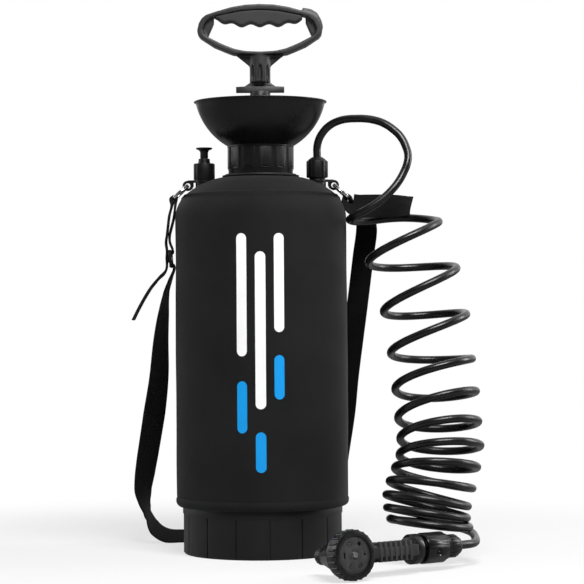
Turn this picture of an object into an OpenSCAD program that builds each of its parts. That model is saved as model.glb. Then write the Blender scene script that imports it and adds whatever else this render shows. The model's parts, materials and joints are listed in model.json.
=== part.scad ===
// Portable pressure shower: a hand-pumped bottle in a fabric sleeve, with a filling
// bowl, a carrying strap, a coiled hose and a spray gun that lies on the floor.
// Millimetres. The origin is the centre of the foot, on the floor, with +Z up.

/* [Bottle] */
// Outside diameter of the fabric sleeve
sleeve_od = 185; // [170:1:200]
// Thickness of the sleeve's fabric
sleeve_t = 3.2; // [2:0.1:4]
// Height of the sleeve's lower hem above the floor
hem_z = 52; // [46:1:56]
// Height of the top of the shoulder dome
crown_z = 405; // [400:1:410]
// Wall thickness of the blow-moulded bottle
tank_wall = 2.5; // [2:0.1:3]
// Outside diameter of the foot cup
foot_od = 172; // [168:1:174]
// Number of panels round the foot
foot_panels = 15; // [9:1:24]

/* [Filling bowl] */
// Outside radius of the bowl's sphere
bowl_r = 71.5; // [70:0.1:72]
// Height of the bowl's rim
bowl_rim_z = 486; // [480:1:490]
// Outside diameter of the neck nut under the bowl
neck_nut_od = 71; // [69:0.5:72]
// Number of grip panels round the neck nut
neck_nut_panels = 12; // [8:1:16]

/* [Pump] */
// Outside radius of the pump barrel
barrel_r = 20.5; // [19:0.1:22]
// Radius of the fluted pump rod
rod_r = 11; // [10.5:0.1:11]
// How far the plunger can be pulled up
stroke_up = 185; // [150:1:186]
// Width across the two lock wings
wing_span = 52; // [48:1:53]

/* [Handle] */
// Width of the handle
handle_w = 135; // [125:1:140]
// Depth of the handle from front to back
handle_d = 24; // [20:1:26]

/* [Hose and gun] */
// Outside diameter of the hose
hose_od = 8.5; // [8:0.1:9]
// Radius of the coil, to the middle of the hose
coil_r = 41.5; // [40:0.5:42]
// Outside diameter of the pattern dial
dial_od = 49.6; // [48:0.1:50]
// Outside diameter of the quick coupling's collar
collar_od = 31; // [30:0.5:32]

/* [Strap] */
// Width of the webbing
strap_w = 25; // [22:1:27]
// Thickness of the webbing
strap_t = 1.6; // [1.4:0.1:1.8]

/* [Hidden] */
$fn = 64;
eps = 0.01;

// colours as the photograph shows them
black_plastic = "#1b1b1d";
satin_plastic = "#242426";
grey_grip = "#4a4a4c";
fabric_grey = "#2a2a2b";
webbing_black = "#121213";
steel = "silver";
rubber_black = "#101011";

// bottle, worked out from the sleeve
sleeve_r = sleeve_od / 2;
base_r = foot_od / 2 - 3.2;
foot_r = foot_od / 2;
neck_r = 30;
neck_in_r = 26.5;
neck_top_z = 447;
corner_r = 35;
corner_z = 360;
corner_x = sleeve_r - corner_r;
crown_x = 30;
// the crown's radius, for an arc that meets the corner's without a kink
crown_rise = crown_z - corner_z;
crown_r = ((corner_x - crown_x) ^ 2 + crown_rise ^ 2 - corner_r ^ 2) / (2 * (crown_rise - corner_r));
meet_angle = atan2(corner_z - crown_z + crown_r, corner_x - crown_x);

// fittings on the shoulder
valve_x = -61;
outlet_x = 61;
boss_top_z = 399;
boss_r = 9.5;
lug_t = 2.5;

// bowl
bowl_c_z = 500;
bowl_wall = 2.5;
nut_top_z = 438;

// pump
barrel_top_z = 452;
barrel_in_r = barrel_r - 2;
// at rest the pump is locked down: the piston is a stroke below the cap
piston_z = 425 - stroke_up;
barrel_bottom_z = piston_z - 44;
wing_z = 496;
socket_z = 506;

// gun: where its barrel meets its grip, and how it lies on the floor
gun_at = [75.3, -246.1, 23];
gun_yaw = -55;
gun_nose_up = 6;
// the back end of the barrel, along its axis
rear_end = -18;
// distances down the grip from the barrel's axis
grip_end_t = 86;
collar_t0 = 102;
collar_t1 = 130;
nut_t1 = 149.5;
// the trigger's pivot and its lever, in front of the grip
pin_at = [10, 0, 24];
lever_x = 19.5;

// Profiles and shared shapes

// the shoulder's outline, drawn in from the sleeve's face by a distance:
// a tight corner arc that runs into a flatter crown arc
module shoulder(inset) {
    meet_x = corner_x + (corner_r - inset) * cos(meet_angle);
    square([sleeve_r - inset, corner_z]);
    translate([corner_x, corner_z]) intersection() {
        circle(r = corner_r - inset, $fn = 96);
        square([corner_r, corner_r]);
    }
    intersection() {
        translate([crown_x, crown_z - crown_r]) circle(r = crown_r - inset, $fn = 128);
        translate([crown_x, corner_z - 10]) square([meet_x - crown_x, 60]);
    }
    translate([0, 10]) square([crown_x + eps, crown_z - inset - 10]);
}

// ribs round a turned grip: ribs of a width and a height on a radius
module ribs(n, r, w, h, z0, z1) {
    for (i = [0 : n - 1])
        rotate([0, 0, i * 360 / n])
            translate([r - 1, -w / 2, z0]) cube([h + 1, w, z1 - z0]);
}

// a wire spring that closes flat enough to sit between two plates
function spring_point(r, z0, z1, turns, f) =
    [r * cos(360 * turns * f), r * sin(360 * turns * f), z0 + (z1 - z0) * f];

module wire_spring(r, wire, z0, z1, turns) {
    n = ceil(turns * 14);
    sweep([for (i = [0 : n]) spring_point(r, z0 + wire, z1 - wire, turns, i / n)], wire, 6);
}

// vector helpers for the swept tubes
function unit(v) = v / norm(v);
function tangent(p, i) =
    unit(p[min(i + 1, len(p) - 1)] - p[max(i - 1, 0)]);
function side_of(t) = unit(cross(abs(t.z) > 0.9 ? [0, 1, 0] : [0, 0, 1], t));
// the side vector is carried along the route so that the tube never twists
function carried(p, i) =
    i == 0 ? side_of(tangent(p, 0)) : unit(carry(carried(p, i - 1), tangent(p, i)));
function carry(s, t) = s - t * (s * t);

// a round tube along a route
module sweep(p, r, sides) {
    n = len(p);
    rings = [
        for (i = [0 : n - 1])
            let (t = tangent(p, i), s = carried(p, i), u = cross(t, s))
                for (k = [0 : sides - 1])
                    p[i] + r * (s * cos(k * 360 / sides) + u * sin(k * 360 / sides))
    ];
    walls = [
        for (i = [0 : n - 2], k = [0 : sides - 1])
            let (a = i * sides + k, b = i * sides + (k + 1) % sides)
                each [[b + sides, b, a], [a + sides, b + sides, a]]
    ];
    start_cap = [for (k = [0 : sides - 1]) k];
    end_cap = [for (k = [sides - 1 : -1 : 0]) (n - 1) * sides + k];
    polyhedron(rings, concat(walls, [start_cap, end_cap]), convexity = 4);
}

// points on a smooth curve through a list of points, a few between each pair
function smooth(p, steps) = [
    for (i = [0 : len(p) - 2], k = [0 : steps - 1]) bend(p, i, k / steps),
    p[len(p) - 1]
];
function at(p, i) = p[max(0, min(len(p) - 1, i))];
function bend(p, i, f) =
    let (a = at(p, i - 1), b = at(p, i), c = at(p, i + 1), d = at(p, i + 2))
        0.5 * (2 * b + (c - a) * f + (2 * a - 5 * b + 4 * c - d) * f * f
            + (3 * b - 3 * c + d - a) * f * f * f);

// webbing: each station is a point and the direction across the strap
module ribbon(stations, w, t) {
    p = [for (s = stations) [s[0], s[1], s[2]]];
    n = len(p);
    across = [for (s = stations) unit([s[3], s[4], s[5]])];
    corners = [
        for (i = [0 : n - 1])
            let (g = tangent(p, i), a = unit(carry(across[i], g)), u = cross(g, a))
                for (k = [[-1, -1], [1, -1], [1, 1], [-1, 1]])
                    p[i] + a * k.x * w / 2 + u * k.y * t / 2
    ];
    // both faces are cut along the same diagonal, so they stay apart where the webbing twists
    walls = [
        for (i = [0 : n - 2], k = [0 : 3])
            let (a = i * 4 + k, b = i * 4 + (k + 1) % 4)
                each k < 2
                    ? [[b + 4, b, a], [a + 4, b + 4, a]]
                    : [[a + 4, b, a], [a + 4, b + 4, b]]
    ];
    last = (n - 1) * 4;
    polyhedron(corners, concat(walls,
        [[0, 1, 2, 3]], [[last + 3, last + 2, last + 1, last]]), convexity = 6);
}

// places a piece that is drawn upright on the grip's axis, with +Z towards the gun
module gun_frame() {
    translate(gun_at) rotate([0, 0, gun_yaw]) rotate([0, -gun_nose_up, 0])
        rotate([90, 0, 0]) children();
}
module grip_frame() {
    gun_frame() rotate([180, 0, 0]) children();
}
// turns a piece drawn along +Z to lie along the barrel
module along_barrel() {
    rotate([0, 90, 0]) children();
}

// Bottle

module tank_outline(inset) {
    difference() {
        shoulder(sleeve_t + inset);
        // the bottle narrows below the sleeve's hem to stand in the foot
        translate([base_r - inset, -eps]) square([20, hem_z + 3 + inset]);
        translate([0, -1]) square([sleeve_r, 6 + inset]);
    }
}

module tank() {
    color(black_plastic)
    difference() {
        union() {
            rotate_extrude($fn = 96) difference() {
                tank_outline(0);
                tank_outline(tank_wall);
            }
            for (x = [valve_x, outlet_x])
                translate([x, 0, boss_top_z - 13]) cylinder(r = boss_r, h = 13);
            translate([0, 0, crown_z - 12]) cylinder(r = neck_r, h = neck_top_z - crown_z + 12);
            // thread on the neck
            for (z = [412, 418, 424])
                translate([0, 0, z]) cylinder(r = neck_r + 0.8, h = 2);
        }
        translate([0, 0, 380]) cylinder(r = neck_in_r, h = 80);
        for (x = [valve_x, outlet_x])
            translate([x, 0, 380]) cylinder(r = 7.1, h = 30);
    }
}

module sleeve() {
    color(fabric_grey)
    difference() {
        union() {
            rotate_extrude($fn = 96) difference() {
                shoulder(0);
                shoulder(sleeve_t);
                square([sleeve_r, hem_z]);
                square([40, crown_z]);
            }
            // piped hem and the seam round the shoulder
            for (ring = [[sleeve_r - 0.5, hem_z + 1.6, 1.6], [sleeve_r - 0.5, hem_z + 9, 0.9]])
                rotate_extrude($fn = 96) translate([ring.x, ring.y]) circle(r = ring.z, $fn = 16);
        }
        for (x = [valve_x, outlet_x])
            translate([x, 0, 370]) cylinder(r = 11, h = 40);
    }
}

module foot() {
    groove_start = 5.6;
    fit = 0.15;
    color(black_plastic)
    difference() {
        // a cup with a plain band round its rim
        rotate_extrude($fn = 96) polygon([
            [0, 0], [foot_r - 2.4, 0], [foot_r - 0.8, 1.6], [foot_r - 0.8, 42.6],
            [foot_r, 43.2], [foot_r, hem_z], [base_r + fit, hem_z], [base_r + fit, 5], [0, 5]
        ]);
        // grooves between the panels
        for (i = [0 : foot_panels - 1])
            rotate([0, 0, -90 + groove_start + i * 360 / foot_panels])
                translate([foot_r - 2, -0.8, -1]) cube([4, 1.6, 43]);
        // pockets in the underside between six spokes
        difference() {
            translate([0, 0, -eps]) cylinder(r = 74, h = 2.2, $fn = 96);
            translate([0, 0, -1]) cylinder(r = 20, h = 5);
            for (a = [0 : 60 : 300])
                rotate([0, 0, a]) translate([0, -3, -1]) cube([80, 6, 5]);
        }
    }
}

module neck_washer() {
    color(rubber_black)
    translate([0, 0, crown_z]) difference() {
        union() {
            cylinder(r = 41.5, h = 1.2, $fn = 96);
            cylinder(r = 38.5, h = 2.5, $fn = 96);
        }
        translate([0, 0, -1]) cylinder(r = neck_r + 1, h = 5);
    }
}

module neck_nut() {
    z0 = crown_z + 2.5;
    h = nut_top_z - z0;
    r = neck_nut_od / 2;
    panel_turn = 9.5;
    color(satin_plastic)
    difference() {
        union() {
            translate([0, 0, z0]) cylinder(r = r - 0.7, h = 4, $fn = 96);
            translate([0, 0, z0 + 4]) cylinder(r = r - 0.5, h = h - 5, $fn = 96);
            translate([0, 0, nut_top_z - 1.5]) cylinder(r = r + 0.4, h = 1.5, $fn = 96);
            // the broad grip panels
            intersection() {
                translate([0, 0, z0 + 5.5]) cylinder(r = r + 0.2, h = h - 7.5, $fn = 96);
                for (i = [0 : neck_nut_panels - 1])
                    rotate([0, 0, panel_turn + i * 360 / neck_nut_panels])
                        translate([r - 4, -7, z0]) cube([8, 14, h]);
            }
        }
        translate([0, 0, z0 - 1]) cylinder(r = neck_r + 1, h = h + 3);
        // a short ledge at the foot of each panel
        for (i = [0 : neck_nut_panels - 1])
            rotate([0, 0, panel_turn + i * 360 / neck_nut_panels])
                translate([r - 1, -4, z0 + 6.5]) cube([4, 8, 1.4]);
    }
}

module funnel() {
    rim_r = 71.8;
    color(satin_plastic)
    rotate_extrude($fn = 128) {
        // the bowl's wall between two arcs
        difference() {
            intersection() {
                translate([0, bowl_c_z]) circle(r = bowl_r, $fn = 160);
                translate([0, nut_top_z]) square([90, bowl_rim_z - nut_top_z]);
            }
            translate([0, bowl_c_z]) circle(r = bowl_r - bowl_wall, $fn = 160);
        }
        // the floor of the bowl, open round the neck
        translate([neck_r + 0.2, nut_top_z]) square([6, bowl_wall]);
        // a flared lip, with a bead round its edge
        translate([bowl_r - 3.8, bowl_rim_z - 1.2]) square([rim_r - bowl_r + 3.3, 1.4]);
        translate([rim_r - 0.7, bowl_rim_z - 0.5]) circle(r = 0.7, $fn = 16);
    }
}

// Pressure valve on the left shoulder

module valve_body() {
    color(black_plastic)
    translate([valve_x, 0, 0]) difference() {
        union() {
            translate([0, 0, 383]) cylinder(r = 7, h = 33);
            translate([0, 0, 383]) cylinder(r = 10, h = 3);
        }
        translate([0, 0, 380]) cylinder(r = 3, h = 14);
        translate([0, 0, 392]) cylinder(r = 5.2, h = 30);
    }
}

module valve_nut() {
    z0 = boss_top_z + lug_t;
    color(black_plastic)
    translate([valve_x, 0, 0]) difference() {
        union() {
            translate([0, 0, z0]) cylinder(r = 10.6, h = 18);
            ribs(14, 10.6, 2.2, 0.8, z0 + 0.5, z0 + 17.4);
            translate([0, 0, z0 + 18]) cylinder(r1 = 6.6, r2 = 6, h = 5.2);
        }
        translate([0, 0, z0 - 1]) cylinder(r = 7.1, h = 15.8);
        translate([0, 0, 410]) cylinder(r = 2.6, h = 20);
    }
}

module valve_spring() {
    color(steel)
    translate([valve_x, 0, 0]) wire_spring(3.9, 0.5, 394.7, 416.2, 5);
}

module valve_seal() {
    color(rubber_black)
    translate([valve_x, 0, 392.2]) difference() {
        cylinder(r = 4.6, h = 2.4);
        translate([0, 0, 0.8]) cylinder(r = 2.5, h = 4);
    }
}

module valve_knob() {
    color(black_plastic)
    translate([valve_x, 0, 0]) {
        translate([0, 0, 393]) cylinder(r = 2.5, h = 33);
        translate([0, 0, 425.2]) cylinder(r = 4.3, h = 8.4);
        // the dished pull on top
        rotate_extrude() difference() {
            polygon([[0, 431.5], [4.3, 431.5], [5.2, 433.6], [8.8, 435.2], [8.8, 436.6], [0, 436.6]]);
            translate([0, 446]) circle(r = 10.6, $fn = 96);
        }
    }
}

// Hose outlet on the right shoulder

module outlet_spigot() {
    color(black_plastic)
    translate([outlet_x, 0, 0]) difference() {
        union() {
            translate([0, 0, 382]) cylinder(r = 10, h = 2.4);
            translate([0, 0, 384]) cylinder(r = 7, h = 28);
            // barbed tail inside the nut
            translate([0, 0, 412]) cylinder(r = 3, h = 9);
            translate([0, 0, 414]) cylinder(r1 = 3.7, r2 = 3, h = 3);
            translate([0, 0, 418]) cylinder(r1 = 3.7, r2 = 2.6, h = 3);
        }
        translate([0, 0, 380]) cylinder(r = 1.8, h = 50);
        translate([0, 0, 380]) cylinder(r = 4.02, h = 14);
    }
}

module outlet_gasket() {
    color(rubber_black)
    translate([outlet_x, 0, 384.4]) difference() {
        cylinder(r = 9.5, h = 1.6);
        translate([0, 0, -1]) cylinder(r = 7.02, h = 5);
    }
}

module outlet_nut() {
    z0 = boss_top_z + lug_t + 2;
    color(black_plastic)
    translate([outlet_x, 0, 0]) difference() {
        union() {
            translate([0, 0, z0]) cylinder(r = 10.8, h = 18.4);
            ribs(14, 10.8, 2.2, 0.8, z0 + 0.5, z0 + 17.6);
            // the domed top
            intersection() {
                translate([0, 0, z0 + 10.4]) sphere(r = 13, $fn = 64);
                translate([0, 0, z0 + 18]) cylinder(r = 10.8, h = 5.4);
            }
        }
        translate([0, 0, z0 - 1]) cylinder(r = 7.1, h = 14);
        translate([0, 0, z0 + 8]) cylinder(r = 4.35, h = 20);
    }
    color(rubber_black)
    translate([outlet_x, 0, boss_top_z + lug_t]) difference() {
        cylinder(r = 8.6, h = 2);
        translate([0, 0, -1]) cylinder(r = 7.1, h = 4);
    }
}

module dip_tube() {
    color("#d8d8d4")
    translate([outlet_x, 0, 0]) difference() {
        translate([0, 0, 20]) cylinder(r = 4, h = 373.5);
        translate([0, 0, 15]) cylinder(r = 2.8, h = 400);
    }
}

module dip_strainer() {
    color("#d8d8d4")
    translate([outlet_x, 0, 0]) difference() {
        translate([0, 0, 10]) cylinder(r = 6.5, h = 18);
        translate([0, 0, 12]) cylinder(r = 4.02, h = 20);
        for (a = [0 : 45 : 315])
            rotate([0, 0, a]) translate([3, -0.7, 12]) cube([6, 1.4, 6]);
    }
}

// Strap fittings

lug_hole = [79, 0, 395.5];
ring_r = 11.4;
ring_wire = 1.1;
ring_lean = 42;

// a collar under the nut with an upright ear for the ring
module strap_lug(mid_x) {
    color(black_plastic)
    difference() {
        union() {
            translate([mid_x, 0, boss_top_z]) cylinder(r = 10.4, h = lug_t);
            hull() {
                translate([mid_x + 4, -4, boss_top_z]) cube([2, 8, lug_t]);
                translate([lug_hole.x - 6, -2, boss_top_z]) cube([2, 4, lug_t]);
            }
            translate([72.5, -2, 394]) cube([6, 4, boss_top_z + lug_t - 394]);
            hull() {
                translate([lug_hole.x, 0, lug_hole.z]) rotate([90, 0, 0]) cylinder(r = 5.5, h = 4, center = true);
                translate([73.5, -2, 392.5]) cube([2, 4, 9]);
            }
        }
        translate([mid_x, 0, 390]) cylinder(r = 7.1, h = 20);
        translate([lug_hole.x, 0, lug_hole.z]) rotate([90, 0, 0]) cylinder(r = 2.9, h = 10, center = true);
        // the underside follows the shoulder
        translate([0, 0, crown_z - crown_r]) rotate_extrude($fn = 128)
            translate([crown_x, 0]) intersection() {
                circle(r = crown_r + 0.1, $fn = 128);
                square([90, 90]);
            }
    }
}
module strap_lug_left() {
    mirror([1, 0, 0]) strap_lug(-valve_x);
}
module strap_lug_right() {
    strap_lug(outlet_x);
}

// a split ring: two turns of wire side by side
module split_ring() {
    translate([lug_hole.x, 0, lug_hole.z])
        rotate([0, ring_lean, 0]) translate([ring_r - 0.3, 0, 0])
            rotate_extrude($fn = 48) for (z = [-0.8, 0.8])
                translate([ring_r, z]) circle(r = ring_wire, $fn = 16);
}
module strap_ring_left() {
    color(steel) mirror([1, 0, 0]) split_ring();
}
module strap_ring_right() {
    color(steel) split_ring();
}

// Webbing, from the left ring round behind the bottle to the right ring.
// Each row is a point and the direction across the webbing.
strap_path = [
    [-95, 0, 376.5, 0, 1, 0],
    [-94.5, 1, 366, 0, 1, 0],
    [-95.6, 5, 345, 0, 1, 0],
    // in and out of the slider's two windows
    [-96.1, 9, 327.2, 0, 1, 0],
    [-95.9, 9, 323.8, 0, 1, 0],
    [-98.3, 9, 321.6, 0, 1, 0],
    [-100.8, 9, 319.4, 0, 1, 0],
    [-100.4, 9, 314.2, 0, 1, 0],
    [-97.7, 9, 312.4, 0, 1, 0],
    [-95, 9, 310.6, 0, 1, 0],
    [-94.7, 9.3, 306, 0, 1, 0],
    [-98.6, 12, 296, 0.05, 1, 0],
    [-104, 18, 280, 0.15, 1, 0],
    [-108, 25, 254, 0.4, 0.9, 0],
    [-111, 33, 228, 0.55, 0.8, 0],
    [-114, 45, 188, 0.8, 0.6, 0.1],
    [-120, 58, 148, 0.95, 0.3, 0.1],
    [-127, 70, 107, 0.95, 0.3, 0.1],
    [-133, 82, 66, 0.85, 0.5, 0.1],
    [-134, 87, 48, 0.7, 0.7, 0],
    [-132, 92, 30, 0.4, 0.9, 0],
    [-126, 97, 14, 0.2, 1, 0],
    [-114, 101, 4, 0.1, 1, 0],
    [-98, 105, 1.4, 0.1, 1, 0],
    [-60, 112, 1.2, 0.1, 1, 0],
    [0, 116, 1.2, 0, 1, 0],
    [50, 112, 1.4, -0.2, 1, 0],
    [66, 110, 6, -0.5, 0.9, 0],
    [74, 104, 24, -0.8, 0.7, 0],
    [79, 95, 56, -0.87, 0.5, 0],
    [83, 85, 93, -0.87, 0.48, 0],
    [91, 72, 147, -0.87, 0.48, 0],
    [95, 63, 188, -0.87, 0.48, 0],
    [100, 55, 228, -0.87, 0.48, 0],
    [105, 47, 267, -0.87, 0.48, 0],
    [111, 37, 320, -0.87, 0.48, 0],
    [111, 27, 350, -0.9, 0.4, 0],
    [108, 19, 363, -0.95, 0.3, 0],
    [106, 10, 371, -1, 0.1, 0],
    [105, 2, 373.5, -1, 0, 0],
    [105, -6.2, 374, -1, 0, 0]
];
// the cut end that stands out sideways under the right ring
strap_tail_right = [
    [98, -6, 375.2, 0, 0, 1],
    [106, -6.4, 375.5, 0, 0, 1],
    [118, -7, 375.5, 0, 0, 1],
    [140, -7, 374.5, 0, 0, 1],
    [164, -6, 373.5, 0, 0, 1]
];
// the cut end that hangs from the slider on the left
strap_tail_left = [
    [-95.3, 8.9, 303, 0, 1, 0],
    [-100.5, 7.4, 302.2, 0.1, 1, 0],
    [-104.5, 5.4, 299.5, 0.25, 1, 0],
    [-111, 1.5, 293.5, 0.45, 0.9, 0],
    [-120, -3, 284, 0.6, 0.8, 0],
    [-130, -6, 267, 0.65, 0.75, 0],
    [-138, -8, 251, 0.65, 0.75, 0]
];
module strap() {
    color(webbing_black) {
        ribbon(strap_path, strap_w, strap_t);
        ribbon(strap_tail_left, strap_w - 3, strap_t);
        ribbon(strap_tail_right, strap_w, strap_t);
    }
}

// three-bar slider on the left webbing
module strap_slider() {
    color(black_plastic)
    translate([-98, 9, 317]) rotate([0, -4, 0]) difference() {
        cube([3, 33, 19], center = true);
        for (z = [-4.6, 4.6])
            translate([0, 0, z]) cube([8, 28.4, 5.4], center = true);
    }
}

// Pump

module pump_gasket() {
    color(rubber_black)
    translate([0, 0, neck_top_z]) difference() {
        cylinder(r = 29.5, h = 2);
        translate([0, 0, -1]) cylinder(r = 21.5, h = 4);
    }
}

module pump_cap() {
    hook_z = 456;
    color(satin_plastic)
    difference() {
        union() {
            // threaded skirt outside the neck
            translate([0, 0, 443.2]) cylinder(r = 34, h = 12.8);
            ribs(24, 34, 2.4, 0.9, 446, 455);
            translate([0, 0, hook_z - eps]) cylinder(r = 15, h = 6);
            // two hooks that the wings turn under
            intersection() {
                translate([0, 0, hook_z - eps]) difference() {
                    cylinder(r = 33, h = 18.5);
                    cylinder(r = 27, h = 15);
                    translate([0, 0, 14]) cylinder(r = 21.5, h = 6);
                }
                for (s = [-1, 1])
                    translate([-9, s > 0 ? 10 : -40, hook_z - eps]) cube([24, 30, 20]);
            }
        }
        translate([0, 0, 440]) cylinder(r = neck_r + 1.2, h = 7.5);
        translate([0, 0, 447]) cylinder(r = 29.9, h = 5);
        translate([0, 0, 440]) cylinder(r = rod_r + 0.08, h = 40);
    }
}

module pump_barrel() {
    color("#c9c9c5")
    difference() {
        union() {
            translate([0, 0, barrel_bottom_z]) cylinder(r = barrel_r, h = barrel_top_z - barrel_bottom_z);
            translate([0, 0, 449]) cylinder(r = 29.5, h = barrel_top_z - 449);
        }
        translate([0, 0, barrel_bottom_z + 4]) cylinder(r = barrel_in_r, h = 400);
        // air holes round the foot valve's stem
        translate([0, 0, barrel_bottom_z - 1]) cylinder(r = 1.6, h = 10);
        for (a = [0 : 60 : 300])
            rotate([0, 0, a]) translate([4.5, 0, barrel_bottom_z - 1]) cylinder(r = 1.2, h = 10);
    }
}

// the rubber flap that lets air out of the barrel and no water in
module foot_valve() {
    color(rubber_black)
    translate([0, 0, barrel_bottom_z]) {
        translate([0, 0, -2.4]) cylinder(r1 = 3, r2 = 8.5, h = 2.4);
        cylinder(r = 1.6, h = 4.4);
        translate([0, 0, 4]) cylinder(r1 = 2.4, r2 = 1, h = 2.6);
    }
}

module piston_ring() {
    color(rubber_black)
    translate([0, 0, piston_z + 6]) rotate_extrude() translate([16.6, 0]) circle(r = 1.82, $fn = 24);
}

module piston() {
    color("#b9b9b5")
    translate([0, 0, piston_z]) difference() {
        cylinder(r = 18.2, h = 16);
        // groove of the sealing ring
        translate([0, 0, 3.9]) difference() {
            cylinder(r = 20, h = 4.2);
            translate([0, 0, -1]) cylinder(r = 14.7, h = 7);
        }
        translate([0, 0, 9]) cylinder(r = 7.55, h = 10);
        // air way past the groove
        for (a = [0 : 90 : 270])
            rotate([0, 0, a]) translate([18.4, 0, 9]) cylinder(r = 1.4, h = 10);
    }
}

module rod() {
    flute_n = 8;
    color(satin_plastic)
    union() {
        translate([0, 0, piston_z + 9]) cylinder(r = 7.5, h = 10);
        difference() {
            translate([0, 0, piston_z + 16]) cylinder(r = rod_r, h = wing_z - piston_z - 15);
            // long flutes that save plastic and keep the rod straight
            for (i = [0 : flute_n - 1])
                rotate([0, 0, i * 360 / flute_n + 22.5])
                    translate([6.6, -2.1, piston_z + 26]) cube([9, 4.2, wing_z - piston_z - 32]);
        }
        // the two lock wings, with sloped shoulders
        rotate([90, 0, 0]) translate([0, 0, -5]) linear_extrude(10)
            polygon([
                [-wing_span / 2, wing_z], [wing_span / 2, wing_z],
                [wing_span / 2, wing_z + 5.8], [16.5, wing_z + 6.3], [11.3, wing_z + 10],
                [-11.3, wing_z + 10], [-16.5, wing_z + 6.3], [-wing_span / 2, wing_z + 5.8]
            ]);
        translate([0, 0, wing_z + 8]) cylinder(r = 7.5, h = 24);
    }
}

// Handle

// right half of the handle's outline seen from the front, and of its window: each
// row is a share of half the width, and a height
outer_half = [
    [0, 590.5], [0.22, 589.9], [0.45, 587.4], [0.69, 582.8], [0.855, 579.2],
    [0.924, 575.5], [0.973, 570], [1, 562], [0.988, 558], [0.949, 554.8],
    [0.74, 545.5], [0.545, 539.9], [0.42, 536.6], [0, 536.2]
];
window_half = [
    [0, 584.8], [0.3, 583.6], [0.69, 578.3], [0.78, 576.3], [0.87, 570.5],
    [0.91, 563.5], [0.88, 558], [0.841, 555.8],
    [0.643, 549], [0.545, 546], [0.408, 542.4], [0.25, 540.1], [0, 539.2]
];
module both_halves(half) {
    polygon(concat(
        [for (p = half) [p.x * handle_w / 2, p.y]],
        [for (i = [len(half) - 2 : -1 : 1]) [-half[i].x * handle_w / 2, half[i].y]]
    ));
}
// a profile drawn from the front, given a depth from front to back
module front_to_back(depth) {
    rotate([90, 0, 0]) translate([0, 0, -depth / 2]) linear_extrude(depth) children();
}

module handle() {
    socket_r = 11.75;
    slot_z = 515;
    color(satin_plastic)
    difference() {
        union() {
            front_to_back(handle_d) difference() {
                both_halves(outer_half);
                both_halves(window_half);
            }
            // recessed webs in the two ends of the window
            for (s = [-1, 1])
                front_to_back(handle_d - 12)
                    polygon([[s * 61, 567], [s * 58, 572], [s * 49.5, 577.5],
                        [s * 49.5, 570.5], [s * 56, 555.6], [s * 60, 557.8]]);
            // webs from the lower bar down to the socket
            front_to_back(8)
                polygon([[-28, 537.5], [28, 537.5], [22, 533], [11, 524], [-11, 524], [-22, 533]]);
            translate([0, 0, socket_z]) cylinder(r = socket_r, h = 538 - socket_z);
            // the clip shoulder at the right-hand end
            front_to_back(handle_d - 2)
                polygon([[46, 583], [46, 586.4], [55.3, 584.8], [61.9, 580.9], [66.4, 573],
                    [68.4, 565.8], [63.9, 554.2], [61, 557], [62, 566], [60, 574], [55, 579]]);
        }
        translate([0, 0, socket_z - 1]) cylinder(r = 7.55, h = 25.5);
        // lens-shaped slots round the socket
        for (i = [0 : 7])
            rotate([0, 0, i * 45]) translate([socket_r, 0, slot_z])
                intersection_for(side = [-1, 1])
                    translate([0, side * 30.2, 0]) rotate([0, 90, 0])
                        cylinder(r = 32.4, h = 5.6, center = true, $fn = 96);
    }
}

// soft panel under the top bar, waved for the fingers
grip_left = -49.5;
grip_right = 46;
finger_pitch = 19.6;
function grip_edge(x) =
    569.15 - 1.65 * cos(360 * x / finger_pitch) + 0.25 * max(0, abs(x) - 25);

module handle_grip() {
    steps = 60;
    color(grey_grip)
    front_to_back(handle_d - 3) intersection() {
        both_halves(window_half);
        polygon(concat(
            [[grip_right, 592], [grip_left, 592]],
            [for (i = [0 : steps])
                let (x = grip_left + (grip_right - grip_left) * i / steps) [x, grip_edge(x)]]
        ));
    }
}

// Hose

// from the outlet nut, over the loop and round the back to the coil's first turn
lead_route = [
    [61, 0, 422], [61, 0, 429], [61, 0, 436], [63, -1, 444.5], [67.5, -2, 452.5],
    [74.5, -3, 459.5], [83.5, -6, 464], [93, -9, 466], [103, -12, 466.2],
    [112, -15, 465.8], [122, -18, 464], [132.5, -22, 460], [143, -26, 452.5],
    [150, -29, 445], [155, -32, 435], [157.5, -35, 424.5], [156, -38, 415],
    [152.5, -40, 406.5], [147.5, -43, 397.5], [141, -46, 389], [132.5, -48, 380.5],
    [123, -49, 373], [112, -48.5, 366.5], [102.5, -45, 361.5], [97, -38.5, 358.5],
    [95, -30, 357], [97, -20, 356], [102.5, -10.5, 355.5], [111, -3, 356],
    [121, 2, 357], [133, 5, 358.5], [146, 5.5, 359.5], [159, 3, 359.5],
    [171, -3.5, 358.5], [181, -12.5, 357], [187, -23.5, 355.5], [189.4, -36, 354.2]
];
// from the coil's last turn, round the back to the coupling
tail_route = [
    [132.5, -113, 46], [135.5, -99, 43.5], [143, -85.5, 41.5], [154, -75, 39.5],
    [167, -67.5, 37.5], [181, -64.5, 35.5], [195, -65, 33.5], [207, -71, 31.5],
    [214.5, -82, 30], [218.5, -95, 28.5], [219.5, -109, 26.5], [219.5, -124, 24.5],
    [217.4, -136.5, 23.3], [212, -147, 23], [202.7, -156.4, 23], [197.8, -160.3, 23]
];
// middle of the coil at every second turn, from its top down, and how much higher
// its right side lies than its middle
coil_axis = [
    [147.9, -36, 343.2], [174.7, -50, 247.4], [184.9, -64, 171.2], [187.6, -78, 117.9],
    [178.9, -92, 82], [172.8, -106, 55.5], [174.6, -117, 36]
];
coil_tilt = [11, 11, 9, 1, -7.5, -8, -6.5];
coil_out_r = coil_r + hose_od / 2;
coil_in_r = coil_r - hose_od / 2;

module hose_lead() {
    color(black_plastic) sweep(smooth(lead_route, 2), hose_od / 2, 10);
}

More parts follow.
